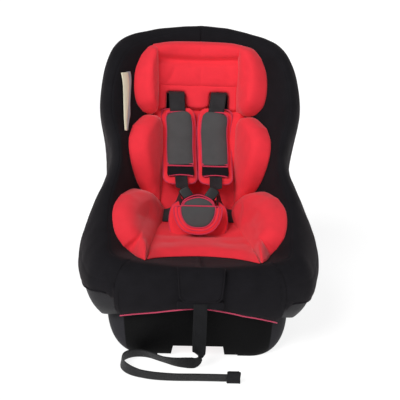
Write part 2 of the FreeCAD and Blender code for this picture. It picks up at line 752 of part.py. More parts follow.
def make_crotch_parts():
    path = [CROTCH_SLOT + Vector(0, -1, -17), CROTCH_SLOT + Vector(0, -1, 0),
            CROTCH_SLOT + Vector(0, -0.5, 14), on_buckle(0, 0.4, 5)]
    add_shape("crotch_strap", ribbon(path, CROTCH_STRAP_WIDTH, WEB_THICK))
    plate_body("crotch_anchor", "48", "18", "2.5", 3,
               placement=Placement(CROTCH_SLOT + Vector(0, -1, -20.5), Rotation()))
    outline = Part.Ellipse(Vector(0, 0, 0), 48, 30).toShape()
    rear = Part.Face(Part.Wire(outline)).extrude(Vector(0, 0, 9))
    rear.Placement = facing(on_buckle(0, 35, -10), Vector(1, 0, 0), BUCKLE_UP)
    add_shape("crotch_pad_rear", rear)
    disc = Part.makeCylinder(44, 9)
    disc = disc.makeFillet(3.5, [edge for edge in disc.Edges if len(edge.Vertexes) == 1])
    disc.Placement = facing(on_buckle(0, 39, 24), Vector(1, 0, 0), BUCKLE_UP)
    add_shape("crotch_pad_front", disc)


def make_splitter():
    """The yoke behind the bucket where both shoulder straps meet the single adjuster strap."""
    centre = back_point(0, 312, -25)
    upward = unit_vector(0, 0.381, 0.924)
    plate_body("splitter_plate", "78", "24", "2.5", 5,
               holes=[("64", "4", (0.0, 6.0)), ("30", "4", (0.0, -6.0))],
               placement=facing(centre, Vector(1, 0, 0), upward))
    path = [back_point(0, 300, -24), back_point(0, 280, -24), back_point(0, 240, -26), Vector(0, 118, 190),
            Vector(0, 92, 150), Vector(0, 50, 129), Vector(0, -10, 127), Vector(0, -70, 131),
            Vector(0, -130, 133), Vector(0, -170, 124), Vector(0, -196, 117.5), Vector(0, -212, 116.6),
            Vector(0, -230, 116.6)]
    add_shape("adjuster_strap_inner", ribbon(path, size("adjuster_webbing_width"), WEB_THICK))


# ---------------------------------------------------------------- front adjuster
def make_adjuster():
    floor = Part.makeBox(38, 36, 2, Vector(-19, -236, 112.2))
    walls = []
    for side in (-1, 1):
        walls.append(Part.makeBox(2, 36, 24, Vector(side * 18 - 1, -236, 112.2)))
    housing = floor.fuse(walls)
    housing = housing.cut(Part.makeCylinder(1.8, 50, Vector(-25, -214, 127), Vector(1, 0, 0)))
    add_shape("adjuster_housing", housing)
    rod("adjuster_axle", "3.2", "38", Vector(0, -214, 127))
    cam = Part.makeCylinder(6, 30, Vector(-15, -214, 127), Vector(1, 0, 0))
    thumb = Part.makeBox(30, 22, 4, Vector(-15, -236, 128))
    cam = cam.fuse(thumb).cut(Part.makeCylinder(1.8, 50, Vector(-25, -214, 127), Vector(1, 0, 0)))
    add_shape("adjuster_cam", cam)
    add_shape("adjuster_spring", coil(4.0, 0.4, 0.9, 1.0, Vector(15.55, -214, 127), Vector(1, 0, 0)))


def make_front_flap():
    points = [Vector(0, -224, 182.6), Vector(0, -234, 178), Vector(0, -242.4, 165), Vector(0, -244.2, 150),
              Vector(0, -244.4, 139)]
    flap = ribbon(points, 88, 2.4)
    add_shape("front_flap", flap)


# ---------------------------------------------------------------- free end of the adjuster strap
DROP_ROUTE = [(0, -242, 122), (0, -246.5, 96), (0, -247.5, 66), (0, -251, 38), (0, -253, 26)]
FLOOR_ROUTE = [(-18, -257), (-44, -254), (-72, -236), (-98, -217), (-126, -222), (-142, -250),
               (-130, -284), (-96, -304), (-50, -310), (4, -308), (58, -309)]
FREE_THICKNESS = 1.8
FLOOR_GAP = 0.3


def rounded_route(points, label):
    """Straight runs joined by tangent arcs as large as the runs allow."""
    edges = []
    start = points[0]
    for before, corner, after in zip(points, points[1:], points[2:]):
        incoming = corner - before
        outgoing = after - corner
        half_turn = incoming.getAngle(outgoing) / 2
        trim = 0.45 * min(incoming.Length, outgoing.Length)
        radius = trim / math.tan(half_turn)
        print("%s radius %.1f mm, turn %.0f degrees" % (label, radius, math.degrees(2 * half_turn)))
        incoming.normalize()
        outgoing.normalize()
        enter = corner - incoming * trim
        leave = corner + outgoing * trim
        inward = outgoing - incoming
        inward.normalize()
        middle = corner + inward * (radius / math.cos(half_turn) - radius)
        edges.append(Part.LineSegment(start, enter).toShape())
        edges.append(Part.Arc(enter, middle, leave).toShape())
        start = leave
    edges.append(Part.LineSegment(start, points[-1]).toShape())
    return Part.Wire(edges)


def swept_strap(points, section, label):
    """Webbing swept along a flat route, its volume compared with section times length."""
    path = rounded_route(points, label)
    sweep = Part.BRepOffsetAPI.MakePipeShell(path)
    sweep.setFrenetMode(False)
    sweep.add(section)
    sweep.build()
    sweep.makeSolid()
    strap = sweep.shape()
    expected = Part.Face(section).Area * path.Length
    print("%s length %.1f mm, volume %.0f of %.0f mm3" % (label, path.Length, strap.Volume, expected))
    return strap


def strap_section(start, following, across):
    """The webbing's rectangular section at the start of a route."""
    ahead = following - start
    ahead.normalize()
    through = ahead.cross(across) * (FREE_THICKNESS / 2)
    half = across * (size("adjuster_webbing_width") / 2)
    corners = [start - half - through, start + half - through, start + half + through, start - half + through]
    return Part.makePolygon(corners + corners[:1])


def make_free_strap():
    """The loose end: it hangs from the adjuster, then lies on edge on the floor in one open loop."""
    drop = [Vector(*point) for point in DROP_ROUTE]
    section = strap_section(drop[0], drop[1], Vector(1, 0, 0))
    add_shape("strap_drop", swept_strap(drop, section, "strap_drop"))
    middle = FLOOR_GAP + size("adjuster_webbing_width") / 2
    floor = [Vector(x, y, middle) for x, y in FLOOR_ROUTE]
    section = strap_section(floor[0], floor[1], Vector(0, 0, 1))
    add_shape("strap_floor", swept_strap(floor, section, "strap_floor"))
    end = FLOOR_ROUTE[-1]
    stop = Part.makeBox(24, 9, 27, Vector(end[0] + 0.1, end[1] - 4.5, FLOOR_GAP))
    stop = stop.makeFillet(2.0, stop.Edges)
    add_shape("strap_stop", stop)


def make_trim():
    """The blank sewn tag beside the left head wing, and the bar the shoulder straps run over."""
    first = round(6.5 * STEPS)
    column = 4 * STEPS
    low = []
    high = []
    for i in range(first, first + 4):
        widen = 0.2 + 0.2 * (i - first)
        for grid, lift in ((low, 0.8), (high, 1.6)):
            inner = SKIN[i][column] + NORMALS[i][column] * lift
            outer = SKIN[i][column + 1] + NORMALS[i][column + 1] * lift
            grid.append([inner + (outer - inner) * 0.25, inner + (outer - inner) * (0.25 + widen)])
    add_shape("blank_tag", mirrored(slab(low, high)))
    rod("strap_bar", "8", "150", back_point(0, 378, -14.4))


def build():
    cutters = slot_cutters()
    make_base_shell()
    make_recline_lever()
    make_base_small_parts()
    make_shell(cutters)
    make_tray()
    make_rack()
    make_screws()
    make_cover(cutters)
    make_pads(cutters)
    make_shoulder_harness()
    make_lap_harness()
    make_tongues()
    make_buckle()
    make_crotch_parts()
    make_splitter()
    make_adjuster()
    make_front_flap()
    make_free_strap()
    make_trim()


def sub_parts():
    inside = set()
    for body in doc.findObjects("PartDesign::Body"):
        inside.update(item.Name for item in body.Group)
    kinds = ("PartDesign::Body", "Part::Feature", "Part::Cylinder")
    return [item for item in doc.Objects if item.TypeId in kinds and item.Name not in inside]


def check_and_export():
    doc.recompute()
    problems = []
    for item in doc.Objects:
        if "Invalid" in item.State or "Error" in item.State:
            problems.append("%s is %s" % (item.Label, item.State))
    parts = sub_parts()
    for part in parts:
        if part.Shape.isNull() or not part.Shape.isValid() or not part.Shape.Solids:
            problems.append("%s has a bad shape" % part.Label)
    if problems:
        raise RuntimeError("; ".join(problems))
    os.makedirs("parts", exist_ok=True)
    for part in parts:
        part.Shape.exportStep(os.path.join("parts", part.Label + ".step"))
    print("%d sub-parts written" % len(parts))


build()
check_and_export()
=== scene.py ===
"""A convertible child car seat: moulded bucket on a rocking base, fitted cover, padded insert, harness.

Lengths are millimetres until a mesh is made, except that the camera's distance and target, the lights' places
and the sizes inside materials are metres. The frame is the CAD model's: +X to the right of someone facing the
seat, +Y to its rear, +Z up.
"""
import json
import math

import bpy
import numpy as np
from mathutils import Matrix, Vector, kdtree, noise


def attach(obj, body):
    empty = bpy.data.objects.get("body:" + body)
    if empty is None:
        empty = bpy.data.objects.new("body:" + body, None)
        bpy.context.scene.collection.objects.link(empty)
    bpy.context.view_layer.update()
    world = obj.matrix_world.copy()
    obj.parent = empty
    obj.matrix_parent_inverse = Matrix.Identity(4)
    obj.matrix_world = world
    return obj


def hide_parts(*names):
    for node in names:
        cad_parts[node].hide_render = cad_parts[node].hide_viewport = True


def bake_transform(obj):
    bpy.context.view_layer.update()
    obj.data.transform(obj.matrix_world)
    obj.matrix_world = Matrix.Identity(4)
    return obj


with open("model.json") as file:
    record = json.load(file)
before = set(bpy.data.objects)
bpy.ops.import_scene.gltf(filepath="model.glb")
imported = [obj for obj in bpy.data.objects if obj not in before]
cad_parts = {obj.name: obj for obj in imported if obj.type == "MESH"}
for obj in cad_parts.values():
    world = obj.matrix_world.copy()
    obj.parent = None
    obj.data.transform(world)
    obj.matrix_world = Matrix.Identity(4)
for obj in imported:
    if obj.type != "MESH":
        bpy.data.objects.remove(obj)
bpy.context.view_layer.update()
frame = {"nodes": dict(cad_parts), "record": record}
NODES = frame["nodes"]
MM = 0.001
WHITE = (1.0, 1.0, 1.0, 1.0)
SIDES = ((1, "right"), (-1, "left"))


# ---------------------------------------------------------------- camera
CAMERA_TURN = -2.4        # degrees about the seat, towards its right-hand side
CAMERA_RISE = 19.0
CAMERA_ROLL = 2.2
CAMERA_DISTANCE = 2.2     # metres
CAMERA_TARGET = Vector((0.002, 0.0, 0.234))
CAMERA_LENS = 101.6       # focal length in millimetres


def make_camera():
    turn, rise, roll = (math.radians(a) for a in (CAMERA_TURN, CAMERA_RISE, CAMERA_ROLL))
    back = Vector((math.sin(turn) * math.cos(rise), -math.cos(turn) * math.cos(rise), math.sin(rise)))
    level = Vector((math.cos(turn), math.sin(turn), 0.0))
    upward = back.cross(level)
    right = level * math.cos(roll) + upward * math.sin(roll)
    up = upward * math.cos(roll) - level * math.sin(roll)
    camera = bpy.data.objects.new("camera", bpy.data.cameras.new("camera"))
    camera.data.lens = CAMERA_LENS
    place = Matrix((right, up, back)).transposed().to_4x4()
    place.translation = CAMERA_TARGET + back * CAMERA_DISTANCE
    camera.matrix_world = place
    bpy.context.scene.collection.objects.link(camera)
    bpy.context.scene.camera = camera


make_camera()
bpy.context.scene.view_settings.view_transform = "Standard"


# ---------------------------------------------------------------- materials
class Nodes:
    """Short calls for building the nodes of a material or of the world."""

    def __init__(self, block, shader="Principled BSDF"):
        self.block = block
        self.block.use_nodes = True
        self.tree = self.block.node_tree
        self.shader = self.tree.nodes[shader]

    def add(self, kind, **values):
        node = self.tree.nodes.new(kind)
        for key, value in values.items():
            if key in node.inputs:
                node.inputs[key].default_value = value
            else:
                setattr(node, key, value)
        return node

    def join(self, source, target):
        self.tree.links.new(source, target)

    def surface(self, **values):
        """Sets inputs of the shader; an underscore in a name stands for a space."""
        for key, value in values.items():
            self.shader.inputs[key.replace("_", " ")].default_value = value

    def place(self):
        return self.add("ShaderNodeTexCoord").outputs["Object"]

    def split(self, vector):
        """The vector's three values."""
        node = self.add("ShaderNodeSeparateXYZ")
        self.join(vector, node.inputs[0])
        return node.outputs

    def math(self, operation, first, second=0.0):
        node = self.add("ShaderNodeMath", operation=operation)
        for socket, value in zip(node.inputs, (first, second)):
            if isinstance(value, (int, float)):
                socket.default_value = value
            else:
                self.join(value, socket)
        return node.outputs[0]

    def weighted(self, first, share, second, part):
        """first times share, plus second times part."""
        return self.math("ADD", self.math("MULTIPLY", first, share), self.math("MULTIPLY", second, part))

    def wave(self, value, period):
        """A sine that repeats each time value grows by period."""
        return self.math("SINE", self.math("MULTIPLY", value, 2 * math.pi / period))

    def remap(self, value, start, end, first, last):
        """first where value is start, last where it is end, in between in proportion."""
        node = self.add("ShaderNodeMapRange")
        for key, number in zip(("From Min", "From Max", "To Min", "To Max"), (start, end, first, last)):
            node.inputs[key].default_value = number
        self.join(value, node.inputs["Value"])
        return node.outputs["Result"]

    def noise(self, vector, scale, detail=3.0, roughness=0.5):
        node = self.add("ShaderNodeTexNoise", Scale=scale, Detail=detail, Roughness=roughness)
        self.join(vector, node.inputs["Vector"])
        return node.outputs["Fac"]

    def colour_between(self, share, dark, light):
        ramp = self.add("ShaderNodeValToRGB")
        for element, position, colour in zip(ramp.color_ramp.elements, (0.3, 0.7), (dark, light)):
            element.position = position
            element.color = (*colour, 1.0)
        self.join(share, ramp.inputs["Fac"])
        self.join(ramp.outputs["Color"], self.shader.inputs["Base Color"])

    def bump(self, height, strength, distance):
        node = self.add("ShaderNodeBump", Strength=strength, Distance=distance)
        self.join(height, node.inputs["Height"])
        self.join(node.outputs["Normal"], self.shader.inputs["Normal"])


def shade(colour, factor):
    return tuple(min(1.0, value * factor) for value in colour)


def cloth_material(name, colour, thread=0.0011, sheen=0.25, relief=0.35, variation=0.12, rough=0.85,
                   gloss=0.25):
    """Woven or knitted cloth whose threads follow the piece's UV map, which is in metres."""
    n = Nodes(bpy.data.materials.new(name))
    across, along = n.split(n.add("ShaderNodeUVMap").outputs["UV"])[:2]
    place = n.place()
    weave = n.math("MULTIPLY", n.wave(across, thread), n.wave(along, thread))
    soft = n.noise(place, 38.0, 4.0, 0.6)
    fuzz = n.noise(place, 900.0, 2.0, 0.7)
    n.bump(n.weighted(weave, 0.5, fuzz, 0.8), relief, 0.0004)
    tone = n.weighted(soft, 0.7, fuzz, 0.3)
    n.colour_between(tone, shade(colour, 1 - variation), shade(colour, 1 + variation))
    n.surface(Roughness=rough, Specular_IOR_Level=gloss)
    n.surface(Sheen_Weight=sheen, Sheen_Roughness=0.4, Sheen_Tint=(1.0, 0.8, 0.85, 1.0))
    return n.block


def webbing_material(name, colour, gloss):
    """Seat-belt webbing: ribs along the length, fine picks across it. UV is (across, along) in metres."""
    n = Nodes(bpy.data.materials.new(name))
    across, along = n.split(n.add("ShaderNodeUVMap").outputs["UV"])[:2]
    ribs = n.wave(across, 0.0024)
    slant = n.math("ADD", along, n.math("MULTIPLY", n.math("ABSOLUTE", ribs), 0.0006))
    height = n.math("ADD", ribs, n.math("MULTIPLY", n.wave(slant, 0.0015), 0.6))
    n.bump(height, 0.5, 0.0004)
    tone = n.math("ADD", n.math("MULTIPLY", height, 0.12), n.noise(n.place(), 60.0))
    n.colour_between(tone, shade(colour, 0.75), shade(colour, 1.25))
    n.surface(Roughness=0.5, Specular_IOR_Level=gloss, Sheen_Weight=0.03)
    return n.block


def grained_plastic(name, colour, rough=0.5, grain=620.0, relief=0.45, variation=0.1, gloss=0.3,
                    painted_shade_reach=0.0):
    """Moulded plastic with a leather-like grain and slightly uneven gloss.

    With painted_shade_reach it is painted darker nearer the middle than that many metres, at floor level, as
    painted shade under the seat's front; the line moves outwards a little with height."""
    n = Nodes(bpy.data.materials.new(name))
    place = n.place()
    cells = n.add("ShaderNodeTexVoronoi", Scale=grain)
    n.join(place, cells.inputs["Vector"])
    fine = n.noise(place, grain * 1.7, 2.0)
    broad = n.noise(place, 14.0, 4.0, 0.6)
    height = n.math("ADD", cells.outputs["Distance"], n.math("MULTIPLY", fine, 0.5))
    n.bump(height, relief, 0.0005)
    tone = n.weighted(broad, 0.6, fine, 0.4)
    # Painted shade: the colour is darkened towards the middle of the base's front, standing in for the shade
    # under the seat's front.
    if painted_shade_reach:
        x, _, z = n.split(place)
        out = n.math("SUBTRACT", n.math("ABSOLUTE", x), n.math("MULTIPLY", z, 0.12))
        flank = n.remap(out, painted_shade_reach, painted_shade_reach + 0.004, 0.0, 1.0)
        tone = n.math("MULTIPLY", n.math("ADD", tone, 0.35), flank)
    n.colour_between(tone, shade(colour, 1 - variation), shade(colour, 1 + variation))
    n.surface(Specular_IOR_Level=gloss)
    n.join(n.remap(broad, 0.0, 1.0, rough - 0.08, rough + 0.1), n.shader.inputs["Roughness"])
    return n.block


def metal_material(name, colour):
    """Metal with fine brushed lines."""
    n = Nodes(bpy.data.materials.new(name))
    stretched = n.add("ShaderNodeMapping", Scale=(40.0, 600.0, 600.0))
    n.join(n.place(), stretched.inputs["Vector"])
    brushed = n.noise(stretched.outputs["Vector"], 1.0, 3.0)
    n.bump(brushed, 0.15, 0.0002)
    n.colour_between(brushed, shade(colour, 0.88), colour)
    n.surface(Metallic=1.0, Roughness=0.28)
    return n.block


RED = (0.78, 0.026, 0.042)
BLACK = (0.0068, 0.0062, 0.0080)
FINISH = {
    "red_fabric": cloth_material("red_knit", RED, sheen=0.30, variation=0.06),
    "black_fabric": cloth_material("black_knit", BLACK, sheen=0.05, variation=0.25, gloss=0.12),
    "grey_fabric": cloth_material("grey_mesh", (0.062, 0.062, 0.063), thread=0.0022, sheen=0.06, relief=0.6),
    "piping": cloth_material("red_piping", (0.55, 0.030, 0.075), thread=0.0008, sheen=0.3),
    "edge_piping": cloth_material("pink_piping", (0.52, 0.050, 0.11), thread=0.0008, sheen=0.3),
    "tag_cloth": cloth_material("tag_satin", (0.66, 0.62, 0.47), 0.0006, 0.0, 0.15, rough=0.5),
    "tag_edge": cloth_material("tag_back", (0.30, 0.30, 0.32), 0.0006, 0.0, 0.15, rough=0.6),
    "webbing": webbing_material("harness_webbing", (0.020, 0.019, 0.021), gloss=0.15),
    "strap_webbing": webbing_material("adjuster_webbing", (0.0040, 0.0040, 0.0052), gloss=0.16),
    # The base's front is painted darker in its middle: painted shade under the seat's front.
    "base_plastic": grained_plastic("base_plastic", (0.0110, 0.0105, 0.0125), rough=0.6, grain=520.0,
                                    variation=0.88, gloss=0.10, painted_shade_reach=0.128),
    "shell_plastic": grained_plastic("shell_plastic", (0.014, 0.013, 0.0155), rough=0.55, grain=420.0,
                                     relief=0.8, variation=0.45, gloss=0.22),
    "tray_plastic": grained_plastic("tray_plastic", (0.018, 0.018, 0.020)),
    "lever_plastic": grained_plastic("lever_plastic", (0.30, 0.012, 0.016), rough=0.4, relief=0.2),
    "buckle_plastic": grained_plastic("buckle_plastic", (0.014, 0.014, 0.015), rough=0.35, relief=0.15),
    "button_plastic": grained_plastic("button_plastic", (0.55, 0.02, 0.02), rough=0.35, relief=0.12),
    "adjuster_plastic": grained_plastic("adjuster_plastic", (0.016, 0.016, 0.017), rough=0.4, relief=0.2),
    "tongue_plastic": grained_plastic("tongue_plastic", (0.012, 0.012, 0.013), rough=0.32, relief=0.12),
    "steel": metal_material("zinc_steel", (0.62, 0.62, 0.64)),
}


def finish_cad_nodes():
    """Every CAD node that stays gets the worked-out material of its own slot."""
    slots = {part["node"]: part["material_slot"] for part in frame["record"]["subparts"]}
    for name, node in NODES.items():
        node.data.materials.clear()
        node.data.materials.append(FINISH[slots[name]])


finish_cad_nodes()


# The material slot of each finish is its own name, but for these.
SLOT_OF = {name: name for name in FINISH}
SLOT_OF.update({"piping": "red_fabric", "edge_piping": "red_fabric", "tag_edge": "tag_cloth",
                "strap_webbing": "webbing"})


# ---------------------------------------------------------------- mesh helpers
def unit(vectors, tiny=0.0):
    """The same directions with a length of 1; tiny keeps a vector of no length from dividing by zero."""
    return vectors / (np.linalg.norm(vectors, axis=-1, keepdims=True) + tiny)


def bell(values, centre, width):
    """1 where a value is centre, falling smoothly to both sides of it."""
    return np.exp(-((values - centre) / width) ** 2)


def ramp(values, start, end):
    """0 before start, 1 after end, and a straight rise or fall between them."""
    return np.clip((values - start) / (end - start), 0, 1)


def distances(line):
    """How far along a line each of its points lies."""
    return np.concatenate([[0], np.cumsum(np.linalg.norm(np.diff(line, axis=0), axis=1))])


def read_line(wanted, places, line):
    """The line at the wanted places, where places are those of its own points."""
    return np.stack([np.interp(wanted, places, line[:, k]) for k in range(line.shape[1])], axis=-1)


def curve_point(a, b, c, d, t):
    """The smooth curve through four points, at share t of the way from b to c."""
    return 0.5 * (2 * b + (c - a) * t + (2 * a - 5 * b + 4 * c - d) * t * t + (3 * b - a - 3 * c + d) * t ** 3)


def new_piece(name, points, faces, finish, body, uv):
    """A mesh piece from points in millimetres. uv is one pair in metres for each point."""
    mesh = bpy.data.meshes.new(name)
    mesh.from_pydata((np.asarray(points, float) * MM).tolist(), [], [list(map(int, f)) for f in faces])
    mesh.validate()
    layer = mesh.uv_layers.new(name="UVMap")
    corner = np.zeros(len(mesh.loops), np.int32)
    mesh.loops.foreach_get("vertex_index", corner)
    layer.data.foreach_set("uv", np.asarray(uv, np.float32)[corner].ravel())
    mesh.shade_smooth()
    piece = bpy.data.objects.new(name, mesh)
    bpy.context.scene.collection.objects.link(piece)
    mesh.materials.append(FINISH[finish])
    if body:
        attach(piece, body)
    return piece


def grid_faces(rows, columns, start, keep):
    """The four-sided faces of a grid of points whose first index is start."""
    faces = []
    for i in range(rows - 1):
        for j in range(columns - 1):
            if keep[i, j]:
                a = start + i * columns + j
                faces.append((a, a + 1, a + columns + 1, a + columns))
    return faces


def closed_slab(front, back, keep=None):
    """The closed form between two grids of points, with openings where keep is false.

    Gives its points, its faces and which points of the two grids it uses."""
    rows, columns = front.shape[:2]
    if keep is None:
        keep = np.ones((rows - 1, columns - 1), bool)
    count = rows * columns
    faces = grid_faces(rows, columns, 0, keep)
    edges = dict.fromkeys(pair for face in faces for pair in zip(face, face[1:] + face[:1]))
    faces += [face[::-1] for face in grid_faces(rows, columns, count, keep)]
    for a, b in edges:
        if (b, a) not in edges:
            faces.append((b, a, a + count, b + count))
    points = np.concatenate([front.reshape(-1, 3), back.reshape(-1, 3)])
    used = np.unique(np.array([index for face in faces for index in face]))
    remap = -np.ones(len(points), int)
    remap[used] = np.arange(len(used))
    return points[used], [tuple(remap[list(face)]) for face in faces], used


def smooth_line(points, count, closed=False):
    """count points evenly spaced on the smooth curve through the given ones."""
    points = np.asarray(points, float)
    if closed:
        padded = np.concatenate([points[-1:], points, points[:2]])
    else:
        padded = np.concatenate([[2 * points[0] - points[1]], points, [2 * points[-1] - points[-2]]])
    dense = [curve_point(a, b, c, d, t) for a, b, c, d in zip(padded, padded[1:], padded[2:], padded[3:])
             for t in np.arange(0, 1, 1 / 24)]
    dense = np.array(dense + [padded[-2]])
    length = distances(dense)
    wanted = np.linspace(0, length[-1], count + 1 if closed else count)
    if closed:
        wanted = wanted[:-1]
    return read_line(wanted, length, dense)


def tube(name, line, radius, finish, body="seat", closed=False):
    """A round cord along a line of points."""
    line = np.asarray(line, float)
    ahead = np.gradient(line, axis=0)
    if closed:
        ahead = np.roll(line, -1, axis=0) - np.roll(line, 1, axis=0)
    ahead = unit(ahead)
    side = np.cross(ahead[0], (0.3, 0.2, 1.0))
    sides = 8
    turns = np.linspace(0, 2 * np.pi, sides, endpoint=False)
    rings = []
    for point, direction in zip(line, ahead):
        side = unit(side - direction * np.dot(side, direction))
        other = np.cross(direction, side)
        rings.append(point + radius * (np.outer(np.cos(turns), side) + np.outer(np.sin(turns), other)))
    points = np.concatenate(rings)
    faces = []
    last = len(line) if closed else len(line) - 1
    for i in range(last):
        for j in range(sides):
            a = i * sides + j
            b = i * sides + (j + 1) % sides
            c = ((i + 1) % len(line)) * sides
            faces.append((a, b, c + (j + 1) % sides, c + j))
    if not closed:
        faces.append(tuple(range(sides))[::-1])
        faces.append(tuple(range((len(line) - 1) * sides, len(line) * sides)))
    along = np.repeat(np.arange(len(line)) * 0.002, sides)
    around = np.tile(np.arange(sides) * 0.001, len(line))
    return new_piece(name, points, faces, finish, body, np.stack([around, along], 1))


def waviness(points, scale, seed):
    """Smooth random numbers from -1 to 1 that follow the place of each point."""
    flat = points.reshape(-1, 3) / scale
    values = [noise.noise(Vector((x + seed * 7.3, y - seed * 3.1, z))) for x, y, z in flat]
    return np.array(values).reshape(points.shape[:-1])


# ---------------------------------------------------------------- the seat's skin
# The outer face of the cover, row by row from the front of the seat up to its top, each row from the
# middle of the seat outwards and round the rim to the lower edge. Millimetres, right half.
CAGE = np.array([
    ((0, -70, 160), (0, -105, 162), (0, -140, 166), (0, -172, 171), (0, -200, 177),
     (0, -221, 178), (0, -236, 165), (0, -240, 140), (0, -238, 112), (0, -229, 102)),
    ((0, -50, 158), (52, -88, 160), (104, -126, 165), (128, -156, 174), (144, -180, 182),
     (157, -197, 183), (171, -212, 167), (180, -212, 132), (179, -200, 85), (167, -186, 66)),
    ((0, -25, 156), (58, -58, 159), (118, -92, 167), (142, -118, 186), (158, -140, 198),
     (174, -154, 202), (201, -160, 182), (219, -156, 140), (211, -142, 95), (186, -122, 50)),
    ((0, 5, 154), (62, -18, 157), (126, -42, 168), (150, -62, 200), (164, -76, 224),
     (180, -84, 230), (212, -84, 206), (230, -82, 156), (220, -76, 104), (188, -62, 48)),
    ((0, 38, 152), (62, 28, 158), (124, 12, 178), (146, -12, 222), (160, -26, 256),
     (174, -32, 264), (196, -24, 246), (213, -6, 194), (209, 10, 142), (188, 10, 48)),
    ((0, 72, 170), (58, 70, 184), (112, 58, 210), (134, 32, 260), (148, 14, 300),
     (159, 14, 308), (172, 36, 298), (178, 74, 264), (184, 92, 222), (187, 112, 108)),
    ((0, 106, 238), (52, 106, 248), (98, 96, 266), (128, 68, 312), (152, 44, 348),
     (168, 42, 354), (186, 66, 348), (192, 106, 326), (190, 126, 306), (176, 146, 262)),
    ((0, 136, 308), (50, 136, 318), (92, 128, 334), (130, 100, 376), (166, 70, 402),
     (184, 68, 406), (200, 92, 402), (201, 132, 386), (197, 154, 372), (182, 174, 344)),
    ((0, 166, 388), (46, 168, 398), (86, 166, 416), (122, 152, 454), (148, 134, 486),
     (163, 132, 497), (174, 154, 502), (174, 190, 486), (168, 206, 464), (152, 214, 436)),
    ((0, 178, 424), (22, 181, 440), (44, 184, 458), (64, 184, 484), (80, 184, 510),
     (90, 190, 523), (93, 212, 527), (91, 238, 504), (88, 243, 480), (80, 241, 456)),
    ((0, 182, 440), (0, 186, 456), (0, 190, 472), (0, 196, 498), (0, 200, 522),
     (0, 208, 535), (0, 228, 534), (0, 246, 512), (0, 247, 488), (0, 245, 460)),
], float)
STEPS = 2    # samples in each gap of the cage


def beyond(end, neighbour):
    """The point past the end of a row: its mirror image on the middle plane, else straight on."""
    if abs(end[0]) < 1e-6 < abs(neighbour[0]):
        return neighbour * (-1, 1, 1)
    return end * 2 - neighbour


def refine(points):
    """Samples a row of points, STEPS to a gap, on the smooth curve through them."""
    padded = [beyond(points[0], points[1]), *points, beyond(points[-1], points[-2])]
    fine = [curve_point(a, b, c, d, step / STEPS)
            for a, b, c, d in zip(padded, padded[1:], padded[2:], padded[3:]) for step in range(STEPS)]
    return np.array(fine + [points[-1]])


def refined_cage():
    columns = [refine(list(CAGE[:, j])) for j in range(CAGE.shape[1])]
    return np.array([refine([column[i] for column in columns]) for i in range(len(columns[0]))])


POLES = refined_cage()


def pole_weights(places, count):
    """Weights of each pole of a clamped uniform cubic spline, at places counted in cage steps."""
    spans = count - 3
    knots = np.concatenate([[0] * 4, np.arange(1, spans), [spans] * 4]).astype(float)
    pole_places = [knots[i + 1:i + 4].mean() for i in range(count)]
    at = np.interp(np.asarray(places, float) * STEPS, np.arange(count), pole_places)
    at = np.clip(at, 0, spans - 1e-9)[:, None]
    weights = ((knots[:-1] <= at) & (at < knots[1:])).astype(float)
    for degree in (1, 2, 3):
        rise = knots[degree:-1] - knots[:-degree - 1]
        fall = knots[degree + 1:] - knots[1:-degree]
        left = np.divide(at - knots[:-degree - 1], rise, out=np.zeros_like(weights[:, :-1]), where=rise > 0)
        right = np.divide(knots[degree + 1:] - at, fall, out=np.zeros_like(weights[:, :-1]), where=fall > 0)
        weights = left * weights[:, :-1] + right * weights[:, 1:]
    return weights


def skin(rows, columns):
    """Points of the skin at these rows and columns; columns on the left are negative."""
    rows, columns = np.broadcast_arrays(rows, columns)
    along = pole_weights(rows.ravel(), POLES.shape[0])
    across = pole_weights(np.abs(columns.ravel()), POLES.shape[1])
    points = np.einsum("ia,abk,ib->ik", along, POLES, across, optimize=True)
    points[:, 0] *= np.where(columns.ravel() < 0, -1, 1)
    return points.reshape(*rows.shape, 3)


def skin_and_normals(rows, columns):
    """Points of the skin and its outward directions there."""
    reach = 0.03
    rows = np.clip(rows, 0, 10)
    points = skin(rows, columns)
    low = np.clip(rows - reach, 0, 10)
    high = np.clip(rows + reach, 0, 10)
    along = skin(high, columns) - skin(low, columns)
    across = skin(rows, columns + reach) - skin(rows, columns - reach)
    return points, unit(np.cross(across, along), 1e-9)


# The insert is laid out in a flat front view of the seat: millimetres across, and millimetres up at right
# angles to a line of sight that comes down on the seat at VIEW_SLOPE.
VIEW_SLOPE = math.radians(19)


def front_view(points):
    """Where points of the seat are in the flat front view."""
    return np.stack([points[..., 0], points[..., 1] * math.sin(VIEW_SLOPE)
                     + points[..., 2] * math.cos(VIEW_SLOPE)], axis=-1)


def build_lookup():
    rows, columns = np.meshgrid(np.linspace(0, 10, 161), np.linspace(-5.2, 5.2, 161), indexing="ij")
    seen = front_view(skin(rows, columns)).reshape(-1, 2)
    tree = kdtree.KDTree(len(seen))
    for index, (x, height) in enumerate(seen):
        tree.insert((x, height, 0), index)
    tree.balance()
    return tree, rows.ravel(), columns.ravel()


LOOKUP = build_lookup()


def skin_under(spots):
    """Rows and columns of the skin behind these places of the front view."""
    tree, all_rows, all_columns = LOOKUP
    flat = spots.reshape(-1, 2)
    found = [tree.find((x, height, 0))[1] for x, height in flat]
    rows, columns = all_rows[found], all_columns[found]
    step = 0.02
    for _ in range(4):
        here = front_view(skin(rows, columns))
        down = (front_view(skin(np.clip(rows + step, 0, 10), columns)) - here) / step
        out = (front_view(skin(rows, columns + step)) - here) / step
        miss = flat - here
        area = down[:, 0] * out[:, 1] - down[:, 1] * out[:, 0]
        area = np.where(np.abs(area) < 1.0, np.inf, area)
        rows = rows + np.clip((miss[:, 0] * out[:, 1] - miss[:, 1] * out[:, 0]) / area, -0.1, 0.1)
        columns = columns + np.clip((down[:, 0] * miss[:, 1] - down[:, 1] * miss[:, 0]) / area, -0.1, 0.1)
        rows = np.clip(rows, 0, 10)
        columns = np.clip(columns, -5.4, 5.4)
    return rows.reshape(spots.shape[:-1]), columns.reshape(spots.shape[:-1])


